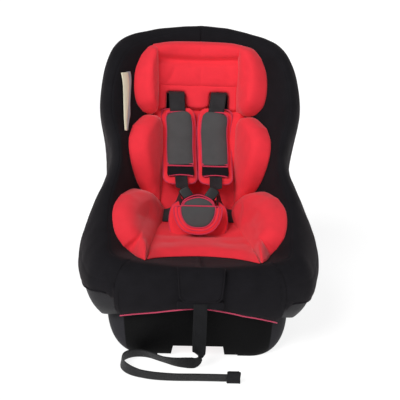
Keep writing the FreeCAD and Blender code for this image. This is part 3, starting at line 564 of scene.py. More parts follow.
def fill_between(bottom, right, top, left, spacing=3.2):
    """A grid of front-view places inside four edges: bottom and top run left to right, the sides upwards."""
    def run(points):
        return np.linalg.norm(np.diff(np.asarray(points, float), axis=0), axis=1).sum()
    across = max(8, round(max(run(bottom), run(top)) / spacing))
    upward = max(8, round(max(run(left), run(right)) / spacing))
    low, high = smooth_line(bottom, across), smooth_line(top, across)
    west, east = smooth_line(left, upward), smooth_line(right, upward)
    s = np.linspace(0, 1, across)[None, :, None]
    t = np.linspace(0, 1, upward)[:, None, None]
    return ((1 - t) * low + t * high + (1 - s) * west[:, None] + s * east[:, None]
            - (1 - s) * (1 - t) * low[0] - s * (1 - t) * low[-1] - (1 - s) * t * high[0] - s * t * high[-1])


def distance_to(points, line):
    """How far each point is from a line given as close points."""
    flat = points.reshape(-1, 3)
    found = np.full(len(flat), 1e9)
    for spot in line:
        found = np.minimum(found, np.linalg.norm(flat - spot, axis=1))
    return found.reshape(points.shape[:-1])


def on_skin(line, count=80, lift=0.0):
    """A smooth front-view line laid on the skin."""
    rows, columns = skin_under(smooth_line(line, count))
    points, outward = skin_and_normals(rows, columns)
    return points + outward * lift


# The pads' cloth: its settings, how many frames it is solved for, and how far the solve may move a point.
PAD_CLOTH = {"quality": 4, "mass": 0.25, "tension_stiffness": 12.0, "compression_stiffness": 12.0,
             "shear_stiffness": 6.0, "bending_stiffness": 1.2, "use_pressure": True,
             "uniform_pressure_force": 4.0, "vertex_group_mass": "sewn"}
PAD_FRAMES = 20
PAD_MOST_MOVE = 5.0


def inflate(piece, pinned):
    """Blows a pad up a little as cloth, with its sewn places held, and keeps every point near its place."""
    group = piece.vertex_groups.new(name="sewn")
    group.add([int(i) for i in pinned], 1.0, "REPLACE")
    cloth = piece.modifiers.new("puff", "CLOTH")
    for key, value in PAD_CLOTH.items():
        setattr(cloth.settings, key, value)
    cloth.settings.effector_weights.gravity = 0
    cloth.collision_settings.use_collision = False
    cloth.point_cache.frame_start = 1
    cloth.point_cache.frame_end = PAD_FRAMES
    for number in range(1, PAD_FRAMES + 1):
        bpy.context.scene.frame_set(number)
    before = np.zeros(len(piece.data.vertices) * 3)
    after = np.zeros(len(piece.data.vertices) * 3)
    piece.data.vertices.foreach_get("co", before)
    solved = piece.evaluated_get(bpy.context.evaluated_depsgraph_get())
    solved.data.vertices.foreach_get("co", after)
    piece.modifiers.remove(cloth)
    piece.vertex_groups.clear()
    bpy.context.scene.frame_set(1)
    move = (after - before).reshape(-1, 3)
    size = np.linalg.norm(move, axis=1, keepdims=True)
    allowed = PAD_MOST_MOVE * MM
    move *= np.where(size > 1e-9, allowed * np.tanh(size / allowed) / np.maximum(size, 1e-9), 1.0)
    piece.data.vertices.foreach_set("co", (before.reshape(-1, 3) + move).ravel())
    piece.data.update()


def subdivide(piece):
    """Replaces the piece's mesh by its own, subdivided once and smoothed."""
    modifier = piece.modifiers.new("smooth", "SUBSURF")
    modifier.levels = 1
    modifier.render_levels = 1
    modifier.uv_smooth = "NONE"
    graph = bpy.context.evaluated_depsgraph_get()
    mesh = bpy.data.meshes.new_from_object(piece.evaluated_get(graph))
    piece.modifiers.clear()
    old = piece.data
    name = old.name
    piece.data = mesh
    bpy.data.meshes.remove(old)
    mesh.name = name


PAD_BACK = 0.4       # how far a pad's back is off the skin
PAD_BORDER = 1.2     # how far its front is off the skin at its border
PAD_WRINKLE = 0.5    # the height of its wrinkles


def insert_pad(name, spots, thickness, edge, channels=(), keep=None, crown=None, seed=1):
    """A stuffed pad on the skin over a grid of front-view places.

    edge is how far in from its border the pad reaches its full thickness. channels lists sewn lines as
    (front-view points, depth, width)."""
    rows, columns = skin_under(spots)
    base, outward = skin_and_normals(rows, columns)
    if keep is None:
        keep = np.ones((base.shape[0] - 1, base.shape[1] - 1), bool)
    held = np.ones(base.shape[:2], bool)
    held[:-1, :-1] &= keep
    held[1:, 1:] &= keep
    held[:-1, 1:] &= keep
    held[1:, :-1] &= keep
    held[0], held[-1], held[:, 0], held[:, -1] = False, False, False, False
    share = np.clip(distance_to(base, base[~held]) / edge, 0, 1)
    height = PAD_BORDER + (thickness - PAD_BORDER) * np.sqrt(np.clip(1 - (1 - share) ** 2.2, 0, 1))
    if crown is not None:
        height = PAD_BORDER + (height - PAD_BORDER) * crown(spots)
    sewn = ~held
    for line, depth, width in channels:
        away = distance_to(base, on_skin(line))
        height -= depth * bell(away, 0, width)
        sewn |= away < 1.8
    height = np.maximum(height, PAD_BORDER)
    height += PAD_WRINKLE * share * waviness(base, 26.0, seed)
    points, faces, used = closed_slab(base + outward * height[..., None], base + outward * PAD_BACK, keep)
    uv = spots.reshape(-1, 2) * MM
    count = len(uv)
    fixed = [k for k, index in enumerate(used) if index >= count or sewn.ravel()[index]]
    finish = "red_fabric"
    piece = new_piece(name, points, faces, finish, None, np.concatenate([uv, uv])[used])
    inflate(piece, fixed)
    subdivide(piece)
    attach(piece, "seat")
    return piece


def side_pad(name, side, edges, thickness, edge, crown, seed):
    """One of a pair of pads; edges are its bottom, right, top and left, given for the right-hand side."""
    spots = fill_between(*edges)
    if side < 0:
        spots = spots[:, ::-1] * (-1, 1)
    return insert_pad(name, spots, thickness, edge, crown=crown, seed=seed)


# ---------------------------------------------------------------- the fitted cover
COVER_THICKNESS = 3.4
HEM_MIDDLE, HEM_CORNER = 8.15, 8.95      # the front panel's lower edge, in cage columns
CORNER_ROW = 0.92                        # the front panel's side edge
# The arms' lower edge as (row, column).
ARM_HEM = ((0.95, 7.5), (1.05, 7.2), (1.6, 7.35), (2.3, 7.7), (2.8, 8.0), (4.0, 8.35), (6.0, 8.45),
           (10.0, 8.4))


def hem_column(rows, side):
    """How far round the rim the cover reaches on each row; it is pulled down further on the right arm."""
    front = HEM_MIDDLE + (HEM_CORNER - HEM_MIDDLE) * np.clip(rows / CORNER_ROW, 0, 1) ** 1.3
    arm = np.interp(rows, *zip(*ARM_HEM)) + 0.36 * (side > 0) * ramp(rows, 3.2, 2.0)
    return np.where(rows <= CORNER_ROW, front, arm)


def sag(points, rows, columns):
    """The front panel's lower right corner hangs a little lower than the left one."""
    low = ramp(columns, 7.2, 8.7) * ramp(rows, 0, 0.9) * ramp(rows, 1.3, 1.0)
    return points - low[..., None] * (0, 0, 8.0)


def evened(grid, share):
    """Each value of the grid moved by share towards the mean of the ones left and right of it."""
    return grid + ((np.roll(grid, 1, axis=1) + np.roll(grid, -1, axis=1)) / 2 - grid) * share


def make_cover():
    """The black cover over the whole bucket, pulled round its rim and held by an elastic hem."""
    corner_rows = CORNER_ROW + np.array([-0.06, -0.02, 0, 0.045, 0.09])
    rows = np.unique(np.concatenate([np.linspace(0, 10, 151), corner_rows]))
    share = np.linspace(-1, 1, 201)
    share = np.sign(share) * np.abs(share) ** 0.92
    grid_rows = np.repeat(rows[:, None], len(share), axis=1)
    reach = hem_column(grid_rows, share[None, :])
    grid_columns = reach * share[None, :]
    base, outward = skin_and_normals(grid_rows, grid_columns)
    base = sag(base, grid_rows, grid_columns)
    side = np.abs(grid_columns)
    near_middle = bell(side, 0, 0.9)[..., None] * 0.6
    for _ in range(40):
        base = evened(base, near_middle)
        outward = evened(outward, near_middle)
    front_seam = bell(grid_rows, CORNER_ROW, 0.035) * (side > 4.6)
    rim_seam = bell(side, 4.55, 0.07) * (grid_rows > 1.2)
    flank_seam = bell(side, 6.6, 0.06) * (grid_rows > CORNER_ROW)
    hem = (1 - np.clip((reach - side) / 0.35, 0, 1)) ** 2
    lift = -1.6 * front_seam - 1.1 * rim_seam - 0.9 * flank_seam - 2.2 * hem
    broad = waviness(base, 70.0, 2)
    folds = waviness(base * (1.0, 1.0, 0.35), 24.0, 5)
    lift += broad * 0.9 + folds * (0.35 + ramp(side, 5.0, 6.2))
    lift += 0.5 * np.sin(grid_rows * 60.0) * ramp(side, 7.4, 8.2) * (grid_rows > CORNER_ROW + 0.1)
    squarer_shoulder = bell(grid_rows, 8.1, 0.7) * bell(grid_columns, -5.6, 1.6)
    lift += 6.0 * squarer_shoulder
    front = base + outward * lift[..., None]
    back = front - outward * COVER_THICKNESS
    points, faces, used = closed_slab(front, back)
    step_along = np.linalg.norm(np.gradient(base, axis=0), axis=2).mean(axis=1).cumsum()
    step_across = np.linalg.norm(np.gradient(base, axis=1), axis=2).mean(axis=0).cumsum()
    uv = np.stack(np.meshgrid(step_across, step_along), axis=-1).reshape(-1, 2) * MM
    cover = new_piece("fitted_cover", points, faces, "black_fabric", "seat", np.concatenate([uv, uv])[used])
    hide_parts("seat_cover")


def make_cover_piping():
    """The thin corded edge along the bottom of the front panel, and dark cord round the arms' hem."""
    half_count = 59
    # The side is 0 at the middle, so the cord's middle point lies on the seat itself, under the seat pad.
    rows = np.abs(np.linspace(-CORNER_ROW + 0.01, CORNER_ROW - 0.01, 2 * half_count + 1))
    columns = np.sign(np.arange(2 * half_count + 1) - half_count) * (hem_column(rows, 0) - 0.03)
    line, outward = skin_and_normals(rows, columns)
    line = sag(line + outward * 0.4, rows, columns)
    tube("front_piping", line, 1.3, "edge_piping")
    rows = np.linspace(CORNER_ROW + 0.12, 9.95, 160)
    for side, name in SIDES[::-1]:
        hem, outward = skin_and_normals(rows, side * (hem_column(rows, side) - 0.02))
        tube("hem_cord_" + name, hem - outward * 2.0, 1.8, "black_fabric")


def seam_stitches(name, line, outward):
    """Short raised threads along a seam, joined in one mesh."""
    pitch, length, radius = 4.2, 2.8, 0.32
    step = distances(line)
    starts = np.arange(1.0, step[-1] - length, pitch)
    points, faces = [], []
    for start in starts:
        ends = []
        for at in (start, start + length / 2, start + length):
            out = read_line(at, step, outward)
            ends.append(read_line(at, step, line) + out * (0.45 if at == start + length / 2 else 0.0))
        side = unit(np.cross(unit(ends[2] - ends[0]), out))
        first = len(points)
        for spot in ends:
            for turn in np.linspace(0, 2 * np.pi, 6, endpoint=False):
                points.append(spot + radius * (np.cos(turn) * side + np.sin(turn) * out))
        for ring in (0, 6):
            for k in range(6):
                a, b = first + ring + k, first + ring + (k + 1) % 6
                faces.append((a, b, b + 6, a + 6))
        faces.append(tuple(range(first, first + 6))[::-1])
        faces.append(tuple(range(first + 12, first + 18)))
    return new_piece(name, points, faces, "black_fabric", "seat", np.zeros((len(points), 2)))


def make_cover_stitching():
    """Top-stitching beside the front panel's side seams."""
    columns = np.linspace(4.8, 8.7, 90)
    for side, name in ((-1, "left"), (1, "right")):
        line, outward = skin_and_normals(np.full(90, CORNER_ROW - 0.075), side * columns)
        seam_stitches("panel_stitch_" + name, line + outward * 0.1, outward)


# ---------------------------------------------------------------- the padded insert
def make_head_pads():
    bottom = [(-102, 447), (-40, 446), (0, 446), (40, 446), (95, 447)]
    top = [(-98, 533), (-60, 541), (0, 543.5), (60, 541), (88, 534)]
    right = [(95, 447), (97, 480), (94, 510), (88, 534)]
    left = [(-102, 447), (-104, 480), (-102, 510), (-98, 533)]
    middle = fill_between(bottom, right, top, left)
    channel = [(-90, 507), (-40, 505), (0, 504), (40, 505), (90, 507)]
    panel = insert_pad("head_panel", middle, 17.0, 13.0, channels=[(channel, 11.0, 7.0)], seed=3)
    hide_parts("head_pad")
    spots, keep = yoke_layout()
    insert_pad("head_yoke", spots, 15.0, 7.0, keep=keep, seed=4)
    for (side, name), inner in zip(SIDES, (0, 12)):
        low = (76 + inner, 399)
        high = (77 + inner, 538 - inner / 2)
        edges = ([low, (99, 391), (114, 395)],
                 [(114, 395), (128, 412), (134, 442), (132, 478), (121, 509)],
                 [high, (105, 528), (121, 509)],
                 [low, (73 + inner, 430), (73 + inner, 460), (75 + inner, 500), high])
        crown = outer_crown(76 + inner, 44 - inner, 0.45)
        pad = side_pad("head_wing_pad_" + name, side, edges, 38.0, 22.0, crown, 6 + side)
        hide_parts("head_wing_" + name)


# The openings for the shoulder straps, in the front view.
SLOT_INNER, SLOT_OUTER, SLOT_TOP = 28.0, 62.0, 437.0


def yoke_layout():
    """The lower part of the head pad: a band with three legs, the straps coming out between them."""
    half = np.concatenate([np.linspace(0, SLOT_INNER, 10), np.linspace(SLOT_INNER, SLOT_OUTER, 10)[1:],
                           np.linspace(SLOT_OUTER, 88, 8)[1:]])
    across = np.concatenate([-half[::-1], half[1:]])
    tongue_end = 404 + 12 * (np.abs(across) / SLOT_INNER) ** 4
    leg_end = 400 + 9 * (np.abs(np.abs(across) - 75) / 13) ** 4
    lowest = np.where(np.abs(across) <= SLOT_INNER, tongue_end, leg_end)
    lowest = np.where((np.abs(across) > SLOT_INNER) & (np.abs(across) < SLOT_OUTER), 408, lowest)
    legs = np.linspace(0, 1, 13)[:-1, None] * (SLOT_TOP - lowest) + lowest
    band = np.linspace(SLOT_TOP, 459, 8)[:, None] + np.zeros(len(across))
    heights = np.concatenate([legs, band])
    spots = np.stack([np.broadcast_to(across, heights.shape), heights], axis=-1)
    middle = (np.abs(across[1:] + across[:-1])) / 2
    open_columns = (middle > SLOT_INNER) & (middle < SLOT_OUTER)
    keep = np.ones((len(heights) - 1, len(across) - 1), bool)
    keep[:12, open_columns] = False
    return spots - (5.0, 0), keep


def outer_crown(inner, span, share):
    """A pad that is share of its thickness at its inner edge and slopes evenly up to its outer ridge."""
    def crown(spots):
        out = np.clip((np.abs(spots[..., 0]) - inner) / span, 0, 1)
        return share + (1 - share) * out * (1.35 - 0.35 * out)
    return crown


def make_back_pads():
    bottom = [(-98, 174), (0, 168), (98, 174)]
    top = [(-93, 405), (0, 406), (93, 405)]
    right = [(98, 174), (95, 230), (93, 300), (93, 405)]
    left = [(-x, height) for x, height in right]
    back = insert_pad("back_panel", fill_between(bottom, right, top, left, 4.0), 13.0, 12.0, seed=11)
    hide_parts("back_pad")
    edges = ([(74, 201), (90, 211), (106, 226)],
             [(106, 226), (124, 256), (137, 298), (141, 337), (134, 366)],
             [(73, 372), (88, 389), (112, 389), (134, 366)],
             [(74, 201), (71, 260), (71, 330), (73, 372)])
    for side, name in SIDES:
        pad = side_pad("torso_pad_" + name, side, edges, 37.0, 22.0, outer_crown(74, 48, 0.45), 13 + side)
        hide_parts("torso_bolster_" + name)


def make_seat_pads():
    bottom = [(-98, 110), (-60, 113), (0, 115), (60, 113), (108, 108)]
    top = [(-92, 182), (0, 180), (92, 182)]
    right = [(108, 108), (103, 141), (97, 164), (92, 182)]
    left = [(-98, 110), (-97, 141), (-96, 164), (-92, 182)]
    quilt = [([(-92, height), (0, height - 1.5), (92, height)], 1.6, 3.0) for height in (140, 128)]
    seat = insert_pad("seat_panel", fill_between(bottom, right, top, left, 3.0), 13.0, 10.0, seed=17,
                      channels=quilt)
    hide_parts("seat_pad")
    for (side, name), inner in zip(SIDES, (0, 10)):
        edges = ([(110 - inner, 108.5), (126 - inner / 2, 115.5), (143, 132)],
                 [(143, 132), (159, 156), (166, 184), (164, 208), (153, 228)],
                 [(80, 218), (104, 234), (130, 241), (153, 228)],
                 [(110 - inner, 108.5), (86 - inner / 2, 142), (68, 172), (67, 196), (80, 218)])
        pad = side_pad("hip_pad_" + name, side, edges, 36.0, 26.0, outer_crown(68, 52, 0.62), 19 + side)
        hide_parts("hip_bolster_" + name)


# ---------------------------------------------------------------- places on the harness, as in the CAD model
ACROSS = np.array((1.0, 0, 0))
BACK_NORMAL = np.array((0, -0.924, 0.381)) / math.hypot(0.924, 0.381)
BUCKLE_FOOT = np.array((0.0, -20.0, 174.0))
BUCKLE_UP = np.array((0, 0.514, 0.857)) / math.hypot(0.514, 0.857)
BUCKLE_OUT = np.array((0, -0.857, 0.514)) / math.hypot(0.514, 0.857)
SLOT_HEIGHT_ON_BACK = 404.0
WEB_WIDTH = 30.0
WEB_THICK = 1.6
BACK_LINE = skin(np.linspace(5, 10, 120), np.zeros(120))


def back_point(x, height, offset=0.0):
    y = np.interp(height, BACK_LINE[:, 2], BACK_LINE[:, 1])
    return np.array((x, y, height)) + BACK_NORMAL * offset


def on_buckle(x, up, out):
    return BUCKLE_FOOT + np.array((x, 0, 0)) + BUCKLE_UP * up + BUCKLE_OUT * out


def band(name, line, widths, thickness, finish, sides, body="seat", across=13, cup=0.0, profile=8):
    """Flat webbing or a strip pad; widths, thickness and cup are numbers, or one for each point of the line."""
    line = np.asarray(line, float)
    count = len(line)
    widths, thickness, cup = (np.broadcast_to(np.asarray(v, float), count) for v in (widths, thickness, cup))
    sides = np.broadcast_to(np.asarray(sides, float), (count, 3))
    ahead = unit(np.gradient(line, axis=0))
    sides = unit(sides - ahead * np.sum(sides * ahead, axis=1, keepdims=True))
    face = np.cross(sides, ahead)
    t = np.linspace(-1, 1, across)
    round_edge = np.sqrt(np.clip(1 - np.abs(t) ** profile, 0.06, 1))
    middle = line[:, None] + sides[:, None] * (t[None, :, None] * widths[:, None, None] / 2)
    middle = middle + face[:, None] * (cup[:, None] * (t ** 2)[None, :])[..., None]
    half = (thickness[:, None] / 2 * round_edge[None, :])[..., None] * face[:, None]
    points, faces, used = closed_slab(middle + half, middle - half)
    uv = np.stack(np.meshgrid(t, distances(line)), axis=-1)
    uv[..., 0] *= widths[:, None] / 2
    uv = uv.reshape(-1, 2) * MM
    return new_piece(name, points, faces, finish, body, np.concatenate([uv, uv])[used])


def shoulder_line():
    """The middle of the right shoulder strap, from the splitter plate to the tongue."""
    half = 44.0
    points = [back_point(17, 330, -24), back_point(20, 342, -23), back_point(34, 370, -24),
              back_point(42, 396, -22), back_point(half, SLOT_HEIGHT_ON_BACK, -8),
              back_point(half, SLOT_HEIGHT_ON_BACK, 10), back_point(half - 1, 402, 26),
              back_point(half - 2, 386, 31), back_point(40, 360, 30), back_point(37, 330, 30),
              back_point(36, 300, 31), back_point(35, 276, 38), np.array((34.5, 62, 270)),
              np.array((34, 38, 259)), np.array((33, 14.5, 252))]
    return smooth_line(points, 160)


def harness_line(side):
    """One shoulder strap's middle; the whole harness lies a little towards the seat's left."""
    line = shoulder_line() * (side, 1, 1)
    share = np.linspace(0, 1, len(line))
    line[:, 0] -= 5.5 * bell(share, 0.5, 0.3) + side * 3.0 * bell(share, 0.56, 0.12)
    return line


def make_shoulder_harness():
    share = np.linspace(0, 1, 160)
    folded = ramp(share, 0.80, 0.90)
    for side, name in SIDES:
        line = harness_line(side)
        widths = WEB_WIDTH + 1.5 - 7.0 * folded * folded
        strap = band("shoulder_webbing_" + name, line, widths, WEB_THICK, "webbing", ACROSS, cup=-4.0 * folded,
                     across=17)
        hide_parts("shoulder_strap_" + name)
        make_chest_pad(name, side, line)


def chest_layer(line, start, end, lift, count=60):
    """The part of a strap's line from share start to share end, moved out from the strap by lift."""
    part = read_line(np.linspace(start, end, count) * (len(line) - 1), np.arange(len(line)), line)
    out = unit(np.cross(unit(np.gradient(part, axis=0)), ACROSS))
    return part + out * np.asarray(lift).reshape(-1, 1), out


def rounded_ends(t, first, last):
    """Shares of the full width along a pad whose ends are round over these shares of its length."""
    power = 2.2
    top = 1 - np.clip(1 - t / first, 0, 1) ** power
    foot = 1 - np.clip(1 - (1 - t) / last, 0, 1) ** power
    return np.sqrt(np.clip(np.minimum(top, foot), 0.0, 1))


def make_chest_pad(name, side, line):
    """A sleeve on the shoulder strap: red backing, grey mesh face with piping, flared black lower end."""
    t = np.linspace(0, 1, 60)
    ends = rounded_ends(t, 0.10, 0.14)
    backing, out = chest_layer(line, 0.462, 0.925, -3.6 - 1.0 * t)
    backing[:, 0] += side * 0.8
    wide = 66 * (0.45 + 0.55 * ends)
    pad = band("chest_backing_" + name, backing, wide, 6.5 * (0.3 + 0.7 * ends), "red_fabric", ACROSS,
               across=29, cup=3.0, profile=4)
    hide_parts("chest_pad_" + name)
    tube("chest_edge_" + name, outline_of(backing, wide + 0.8, out, -3.2), 1.4, "piping", closed=True)
    skirt, out = chest_layer(line, 0.76, 0.885, 4.4)
    wide = (50 + 5 * t) * (0.86 + 0.14 * rounded_ends(t, 1e-3, 0.3))
    flare = band("chest_skirt_" + name, skirt, wide, 4.0, "black_fabric", ACROSS, across=25, cup=4.0)
    bow = np.linspace(-1, 1, 25)[:, None]
    hem = skirt[-1] + ACROSS * bow * wide[-1] / 2 - out[-1] * 3.8 * bow ** 2
    tube("chest_skirt_edge_" + name, hem, 1.5, "piping")
    ends = rounded_ends(t, 0.15, 0.08)
    face, out = chest_layer(line, 0.482, 0.812, 4.6)
    wide = 52 * (0.42 + 0.58 * ends)
    thick = 9.0 * (0.3 + 0.7 * rounded_ends(t, 0.2, 0.12))
    panel = band("chest_panel_" + name, face, wide, thick, "grey_fabric", ACROSS, across=29, cup=3.4,
                 profile=4)
    tube("chest_piping_" + name, outline_of(face, wide + 0.2, out, -3.4), 1.6, "piping", closed=True)
    for label, at, lift in (("upper", 0.804, 5.2), ("lower", 0.822, 7.2)):
        bend, out = chest_layer(line, at - 0.01, at + 0.01, lift, 3)
        forward = unit(bend[2] - bend[0])
        smile = ACROSS * bow * 26 - (out[1] * 3.6 + forward * 3.0) * bow ** 2
        tube("chest_%s_band_%s" % (label, name), bend[1] + smile, 1.5, "piping")


def outline_of(line, widths, out, drop):
    """The border of a band of these widths, as evenly spaced points, pushed back by drop."""
    half = ACROSS * widths[:, None] / 2
    left = line - half + out * drop
    right = line + half + out * drop
    end = [left[-1] * share + right[-1] * (1 - share) for share in (0.25, 0.5, 0.75)]
    loop = np.concatenate([left[::-1], right, end])
    return smooth_line(loop[::2], 160, closed=True)


def make_lap_harness():
    """The lap straps, from the corners of the seat up to the buckle tongues, behind the buckle's pad."""
    slot, inward = np.array((91, 43.4, 178.7)), np.array((-0.42, -0.55, 0.72))
    line = smooth_line([slot - inward * 16, slot - inward * 5, (88, 43, 181), (72, 38, 187), (56, 33, 192),
                        (46, 27, 205), (40, 20, 222), (36, 14, 236)], 60)
    t = np.linspace(0, 1, 60)[:, None]
    sides = (1 - t) * (0.0, 0.88, 0.35) + t * (0.0, 0.5, 0.87)
    for side, name in SIDES:
        mirror = np.array((side, 1, 1))
        strap = band("lap_webbing_" + name, line * mirror, WEB_WIDTH, WEB_THICK, "webbing", sides * mirror,
                     cup=1.5)
        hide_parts("hip_strap_" + name)


def plate(name, outline, low, high, finish, edge, body="seat", crown=0.0, origin=BUCKLE_FOOT, right=ACROSS,
          up=BUCKLE_UP):
    """A rounded plate or pad, on the buckle's plane if not told otherwise; outline is a closed (x, up) loop."""
    outline = np.asarray(outline, float)
    middle = outline.mean(axis=0)
    span = np.linalg.norm(outline - middle, axis=1).mean()
    out = np.cross(right, up)
    inset = np.array([0.0, 0.06, 0.2, 0.45, 0.75, 1.0]) * edge
    shares = np.concatenate([1 - inset / span, [0.78, 0.6, 0.4, 0.2]])
    shares = np.unique(shares)[::-1]
    rings = []
    for share in shares:
        depth = np.clip((1 - share) * span / edge, 0, 1)
        rise = np.sqrt(np.clip(1 - (1 - depth) ** 2, 0, 1))
        height = low + (high - low) * (0.35 + 0.65 * rise) + crown * (1 - share ** 2)
        rings.append((share, height))
    under = [(shares[0], low + (high - low) * 0.12), (1 - 1.0 / span, low)]
    points, faces = [], []
    count = len(outline)

    def place(share, height):
        flat = middle + (outline - middle) * share
        return origin + flat[:, :1] * right + flat[:, 1:] * up + out * height

    layers = under[::-1] + rings
    for share, height in layers:
        points.append(place(share, height))
    for layer in range(len(layers) - 1):
        for k in range(count):
            a = layer * count + k
            b = layer * count + (k + 1) % count
            faces.append((a, b, b + count, a + count))
    top = len(layers) * count
    tip = origin + middle[0] * right + middle[1] * up + out * (layers[-1][1] + crown * 0.02)
    points.append(tip[None])
    points.append((origin + middle[0] * right + middle[1] * up + out * low)[None])
    for k in range(count):
        faces.append(((len(layers) - 1) * count + k, (len(layers) - 1) * count + (k + 1) % count, top))
        faces.append(((k + 1) % count, k, top + 1))
    points = np.concatenate(points)
    uv = np.stack([(points - origin) @ right, (points - origin) @ up], axis=1) * MM
    return new_piece(name, points, faces, finish, body, uv)


def buckle_loop(points, out):
    """A closed line parallel to the buckle's plane, out from it by a distance."""
    loop = smooth_line(points, 110, closed=True)
    return BUCKLE_FOOT + loop[:, :1] * ACROSS + loop[:, 1:] * BUCKLE_UP + BUCKLE_OUT * out


def half_round(half_width, top, bottom):
    """A pocket shape with a straight top edge and a round lower end, a little left of the middle."""
    corner, shift = 5.0, -2.0
    points = [(half_width - corner, top), (half_width - 1, top - 1), (half_width, top - corner)]
    depth = top - corner - bottom
    for turn in np.radians((12, 28, 44, 60, 76, 90)):
        points.append((half_width * math.cos(turn) ** 0.8, bottom + depth * (1 - math.sin(turn))))
    left = [(-x, height) for x, height in points[-2::-1]]
    return [(x + shift, height) for x, height in points + left + [(0, top)]]


def flap_plate(name, outline, count, low, high, finish, edge, crown=0.0):
    """A pad of the flap over the buckle."""
    outline = smooth_line(outline, count, closed=True)
    return plate(name, outline, low, high, finish, edge, "crotch_flap", crown)


def flap_cord(name, outline, out, radius):
    """A piped edge of the flap over the buckle."""
    tube(name, buckle_loop(outline, out), radius, "piping", "crotch_flap", closed=True)


def make_crotch_pads():
    """The pad over the buckle, with its mesh face, domed top and cuff, and the wider red pad behind."""
    base = flap_plate("crotch_pocket", half_round(46, 45, -8), 96, 24.2, 30.0, "red_fabric", 6.0, 1.0)
    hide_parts("crotch_pad_front")
    face = flap_plate("crotch_mesh_face", half_round(33, 45.5, 4), 90, 29.0, 33.0, "grey_fabric", 8.0, 2.0)
    cords = (("inner", (34, 46, 3), 31.0, 1.5), ("middle", (40.5, 46, -2.5), 30.2, 1.1),
             ("outer", (46.6, 45.5, -8.6), 27.0, 1.4))
    for label, shape, out, radius in cords:
        flap_cord("crotch_%s_piping" % label, half_round(*shape), out, radius)
    dome = [(-31, 34), (-30, 48), (-22, 58), (0, 64), (19, 58), (27, 48), (28, 34)]
    top = flap_plate("crotch_dome", dome, 80, 20.0, 27.0, "grey_fabric", 8.0, 1.0)
    flap_cord("crotch_dome_piping", [(x * 1.04, height + 0.8) for x, height in dome], 23.5, 1.6)
    cuff = [(-38, 36), (-37, 50), (-28, 64), (-2, 73), (24, 64), (33, 50), (34, 36)]
    rim = flap_plate("crotch_cuff", cuff, 80, 16.5, 21.5, "black_fabric", 4.0)
    flap_cord("crotch_cuff_piping", [(x * 0.94, height - 3.0) for x, height in cuff], 22.0, 1.3)
    outline = [(-50, 54), (-30, 66), (0, 69), (30, 66), (50, 54), (56, 38), (57, 18), (53, 0), (47, -9),
               (24, -12), (0, -13), (-24, -12), (-47, -9), (-53, 0), (-57, 18), (-56, 38)]
    outline = smooth_line(outline, 100, closed=True)
    rear = plate("buckle_pad", outline, -9.5, -1.5, "red_fabric", 8.0)
    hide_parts("crotch_pad_rear")
    rim = BUCKLE_FOOT + outline[:, :1] * ACROSS + outline[:, 1:] * BUCKLE_UP - BUCKLE_OUT * 6.6
    tube("buckle_pad_piping", rim, 1.3, "piping", closed=True)


def make_tongue_grips():
    """Moulded grips round the heads of the steel tongues."""
    outline = smooth_line([(-10, 14), (-8, 2), (8, 2), (10, 14), (11, 30), (9, 37), (0, 38.5), (-9, 37),
                           (-11, 30)], 60, closed=True)
    for side, name in SIDES:
        tip = on_buckle(side * 10, 55, 10.9)
        up = unit(on_buckle(side * 29, 80, 10.9) - tip)
        right = unit(np.cross(up, BUCKLE_OUT))
        plate("tongue_grip_" + name, outline, -3.0, 4.2, "tongue_plastic", 2.5, crown=0.6, origin=tip,
              right=right, up=up)


def make_front_flap():
    """The fabric flap over the strap adjuster, with a bound edge."""
    line = smooth_line([(0, -222.0, 183.4), (0, -231.5, 180.0), (0, -240.6, 171), (0, -243.8, 160),
                        (0, -244.8, 148), (0, -245.0, 137), (0, -244.6, 128)], 44)
    t = np.linspace(0, 1, len(line))
    widths = (84 - 10 * t) * np.sqrt(np.clip(1 - ramp(t, 0.86, 1.0) ** 3, 0.72, 1))
    flap = band("adjuster_flap", line, widths, 2.2, "black_fabric", ACROSS, "flap", across=25, cup=0.6)
    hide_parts("front_flap")
    half = ACROSS * widths[:, None] / 2
    reach = widths[-1] / 2 - 3
    foot = [line[-1] + np.array((x, 0, -0.8)) for x in np.linspace(-reach, reach, 9)]
    border = smooth_line(np.concatenate([(line - half)[::4], foot, (line + half)[::-4]]), 120)
    tube("flap_binding", border, 1.5, "black_fabric", "flap")


def make_adjuster_mouth():
    """The dark moulded mouth round the adjuster strap, let into the front panel."""
    half_width, half_height, radius = 42.0, 7.0, 4.5
    points = []
    for across, upward, start in ((1, -1, -90), (1, 1, 0), (-1, 1, 90), (-1, -1, 180)):
        for turn in np.radians(np.linspace(start, start + 90, 8)):
            points.append((across * (half_width - radius) + radius * math.cos(turn),
                           upward * (half_height - radius) + radius * math.sin(turn)))
    plate("adjuster_mouth", points, -1.0, 2.2, "black_fabric", 1.2, origin=np.array((0, -240.2, 119.0)),
          up=np.array((0, -0.07, 0.9975)))


def make_tag():
    """A blank satin tag sewn into the left wing's inner seam, folded so that its back shows."""
    line = smooth_line([(-157.5, 467.5), (-154, 445), (-152.5, 410), (-151.5, 375), (-150, 352)], 40)
    points = on_skin(line, 40, 5.0)
    t = np.linspace(0, 1, 40)
    widths = 20 - 14 * t ** 1.3
    out = np.array((0.55, -0.80, 0.25))
    across = np.array((0.62, 0.72, 0.0))
    middle = points + (across * (widths / 2)[:, None]) * 0.5
    tag = band("blank_sewn_tag", middle, widths, 0.8, "tag_cloth", across, across=9, cup=0.8)
    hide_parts("blank_tag")
    behind = middle + across * (widths * 0.5 + 2.5)[:, None] - out * 1.2
    bulge = 7 + 5 * bell(t, 0.05, 0.15) + 6 * bell(t, 0.72, 0.12) - 5 * t ** 6
    band("tag_underside", behind, bulge, 0.7, "tag_edge", across, across=7, cup=0.5)


